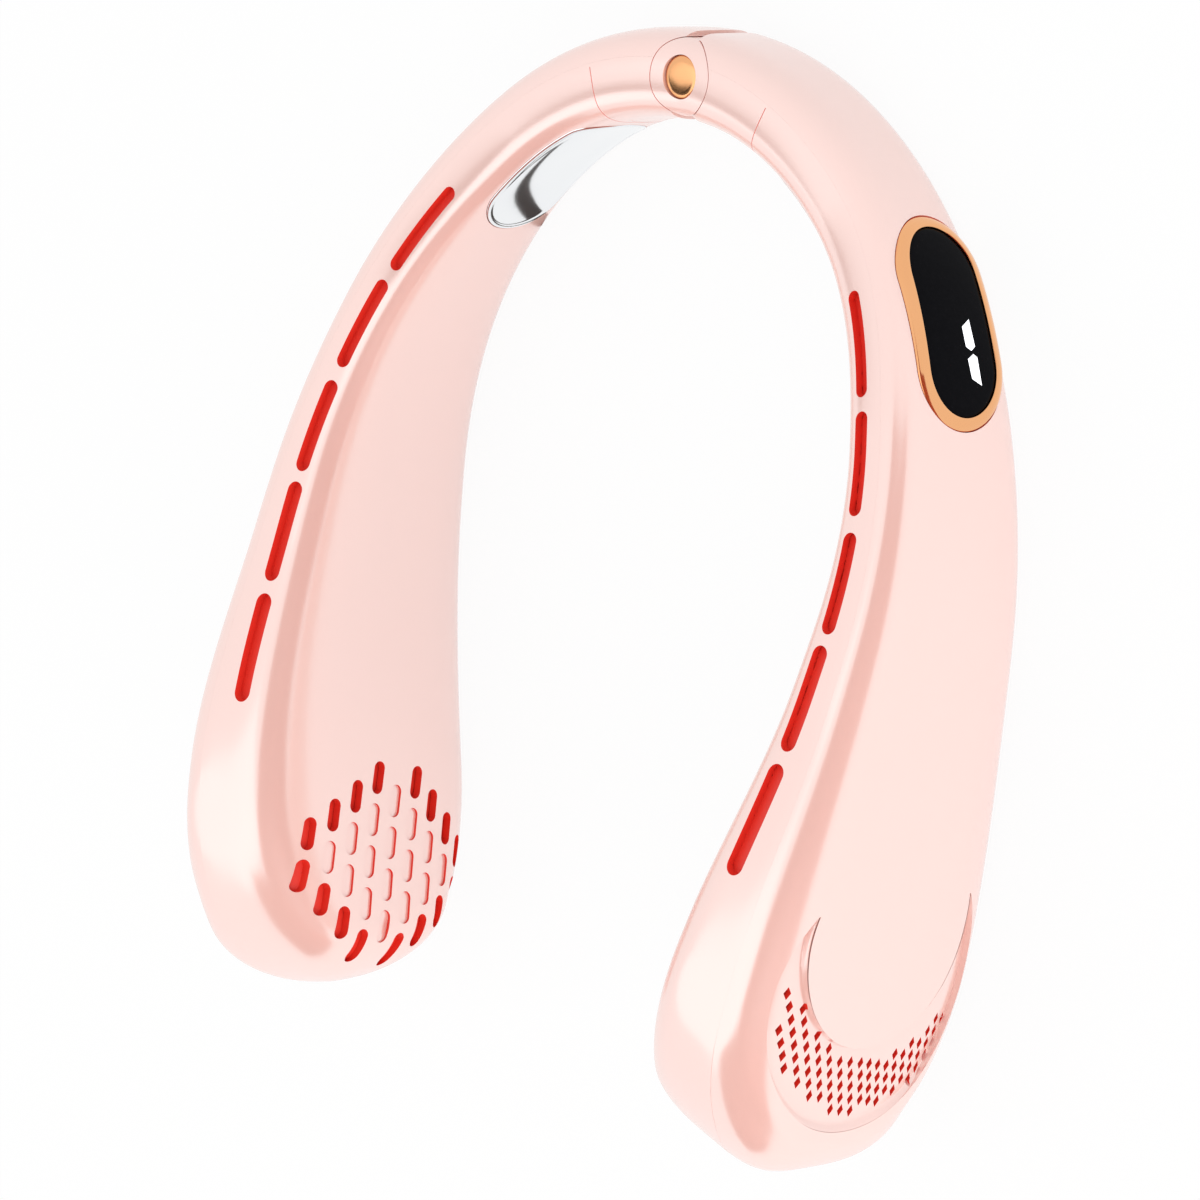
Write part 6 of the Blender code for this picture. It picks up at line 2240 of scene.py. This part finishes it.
@dataclass
class Studio:
    """Pale floor, soft lights and the camera at the photograph's angle."""

    camera_from: Triple = (0.69247, 0.21729, 0.77898)
    camera_aim: Triple = (0.00111, -0.00745, 0.02788)
    camera_roll: float = math.radians(-96.785)
    lens: float = 174.164
    sensor: float = 36.0
    clip: tuple[float, float] = (0.02, 50.0)
    soft_light: float = 0.90
    floor_size: float = 8.0
    floor_tone: Triple = (0.86, 0.86, 0.86)
    floor_glow: float = 0.92
    lamps: tuple[tuple, ...] = (
        ("overhead_softbox", (-0.42, -0.28, 1.22), (1.0, 1.6), 2.4, True),
        ("lower_right_softbox", (1.25, -0.50, 0.45), (0.6, 1.6), 5.0, False),
        ("right_fill", (1.05, -0.40, 0.62), (0.9, 1.4), 3.2, False))
    rosy_cards: tuple[tuple, ...] = (
        ("camera_card", (0.80, -0.14, 0.80), (2.0, 1.4)), ("pod_card", (0.30, -0.95, 0.50), (1.5, 1.5)),
        ("side_card", (1.12, -0.16, 0.36), (2.0, 0.5)))
    dark_cards: tuple[tuple, ...] = (
        ("pin_card", (-0.078, 0.0600, 0.106), (0.05, 0.02), 0.0),
        ("plate_card", (-0.0401, 0.0423, 0.0006), (0.024, 0.0032), math.radians(129.5)))
    rosy: Triple = (0.41, 0.105, 0.070)
    dark: Triple = (0.055, 0.052, 0.05)

    def world(self) -> None:
        """White to the camera and to reflections, soft grey light to everything else."""
        world = bpy.data.worlds.new("studio")
        world.use_nodes = True
        tree = world.node_tree
        back = tree.nodes["Background"]
        path = tree.nodes.new("ShaderNodeLightPath")
        seen = path.outputs["Is Camera Ray"]
        for ray in ("Is Transmission Ray", "Is Glossy Ray"):
            either = tree.nodes.new("ShaderNodeMath")
            either.operation = "MAXIMUM"
            tree.links.new(seen, either.inputs[0])
            tree.links.new(path.outputs[ray], either.inputs[1])
            seen = either.outputs[0]
        level = tree.nodes.new("ShaderNodeMapRange")
        level.inputs["To Min"].default_value = self.soft_light
        level.inputs["To Max"].default_value = 1.0
        tree.links.new(seen, level.inputs["Value"])
        tree.links.new(level.outputs[0], back.inputs["Strength"])
        back.inputs["Color"].default_value = (1.0, 1.0, 1.0, 1.0)
        bpy.context.scene.world = world

    def floor(self) -> None:
        """A pale floor that looks white and still takes the fan's shadow."""
        bpy.ops.object.select_all(action="DESELECT")
        bpy.ops.mesh.primitive_plane_add(size=self.floor_size, location=(0.0, 0.0, 0.0))
        floor = Bench.take("floor")
        shader = Shader("pale_floor")
        shader.wire(Base_Color=self.floor_tone, Roughness=0.9)
        tree = shader.tree
        glow = tree.nodes.new("ShaderNodeEmission")
        glow.inputs["Color"].default_value = (1.0, 1.0, 1.0, 1.0)
        path = tree.nodes.new("ShaderNodeLightPath")
        camera, glossy, through = (Flow(shader, path.outputs[f"Is {ray} Ray"])
                                   for ray in ("Camera", "Glossy", "Transmission"))
        share = camera * self.floor_glow + glossy.larger(through)
        mix = tree.nodes.new("ShaderNodeMixShader")
        tree.links.new(share.socket, mix.inputs["Fac"])
        tree.links.new(shader.surface.outputs[0], mix.inputs[1])
        tree.links.new(glow.outputs[0], mix.inputs[2])
        tree.links.new(mix.outputs[0], tree.nodes["Material Output"].inputs["Surface"])
        floor.data.materials.append(shader.material)

    @staticmethod
    def facing(place: Sequence[float]) -> Quaternion:
        """The turn that points a lamp or a card at the fan."""
        return (Vector((0.0, 0.0, 0.03)) - Vector(place)).to_track_quat("-Z", "Y")

    def lamp(self, name: str, place: Sequence[float], size: Sequence[float], watts: float,
             mirrored: bool) -> None:
        """A soft rectangular lamp that points at the fan.

        Args:
            name: the lamp's name.
            place: where it stands.
            size: its width and height.
            watts: its power.
            mirrored: whether it is seen in reflections.
        """
        bpy.ops.object.select_all(action="DESELECT")
        bpy.ops.object.light_add(type="AREA", location=place)
        lamp = bpy.context.active_object
        lamp.name = name
        lamp.data.shape = "RECTANGLE"
        lamp.data.size, lamp.data.size_y = size
        lamp.data.energy = watts
        lamp.visible_glossy = mirrored
        lamp.rotation_mode = "QUATERNION"
        lamp.rotation_quaternion = self.facing(place)

    def card(self, name: str, place: Sequence[float], size: Sequence[float], turn: Quaternion,
             colour: Sequence[float]) -> None:
        """A card that is seen only in reflections.

        Args:
            name: the card's name.
            place: where it hangs.
            size: its two sides.
            turn: how it is turned from lying flat.
            colour: its colour.
        """
        bpy.ops.object.select_all(action="DESELECT")
        bpy.ops.mesh.primitive_plane_add(size=1.0, location=place)
        card = Bench.take(name)
        Bench.move(card, lambda p: p * np.array([[size[0], size[1], 1.0]]))
        card.rotation_mode = "QUATERNION"
        card.rotation_quaternion = turn
        shader = Shader(name)
        tone = shader.blend(shader.noise(0.2), tuple(colour), tuple(1.1 * value for value in colour))
        card.data.materials.append(shader.wire(Base_Color=tone, Roughness=0.9))
        card.visible_camera = card.visible_diffuse = card.visible_shadow = card.visible_transmission = False

    def camera(self) -> None:
        """The camera, where the photograph was taken from."""
        place, aim = Vector(self.camera_from), Vector(self.camera_aim)
        bpy.ops.object.select_all(action="DESELECT")
        bpy.ops.object.camera_add(location=place)
        camera = bpy.context.active_object
        camera.data.lens = self.lens
        camera.data.sensor_width = self.sensor
        camera.data.clip_start, camera.data.clip_end = self.clip
        camera.rotation_mode = "QUATERNION"
        turn = (aim - place).to_track_quat("-Z", "Y")
        camera.rotation_quaternion = turn @ Matrix.Rotation(self.camera_roll, 4, "Z").to_quaternion()
        bpy.context.scene.camera = camera

    def build(self) -> None:
        """Sets the whole studio up."""
        self.world()
        self.floor()
        for lamp in self.lamps:
            self.lamp(*lamp)
        for name, place, size in self.rosy_cards:
            self.card(name, place, size, self.facing(place), self.rosy)
        for name, place, size, turn in self.dark_cards:
            self.card(name, place, size, Quaternion((0.0, 0.0, 1.0), turn), self.dark)
        self.camera()
        bpy.context.scene.view_settings.view_transform = "Standard"


def main() -> None:
    """Builds the studio and every sub-assembly, and reports each piece."""
    logging.basicConfig(level=logging.INFO, format="%(message)s")
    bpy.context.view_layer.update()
    form = ArmForm()
    finishes = Finishes()
    slots = Slots(form, finishes)
    intake = Intake(form, finishes)
    crescent = Crescent(form, finishes)
    display = Display(form, finishes)
    plate = CoolingPlate(form, finishes)
    hinge = Hinge(form, finishes)
    buttons = Buttons(form, finishes)
    shells = Shells(form, finishes, slots, intake, crescent, display, plate, hinge, buttons)
    Studio().build()
    for side in Side:
        shells.build(side)
        Bench.finish(slots.vanes(side), side.body, "red_plastic")
        Bench.finish(slots.duct(side), side.body, "red_plastic", [f"{side.word}_air_duct"])
        Bench.finish(intake.screen(side), side.body, "red_plastic")
        Bench.finish(crescent.grille(side), side.body, "pink_plastic", [f"{side.word}_outer_grille"])
        Bench.finish(crescent.screen(side), side.body, "red_plastic")
        plate.build(side)
    display.build()
    hinge.build()
    buttons.build()
    Socket(form, finishes).build()
    Innards(finishes).dress()


if __name__ == "__main__":
    main()
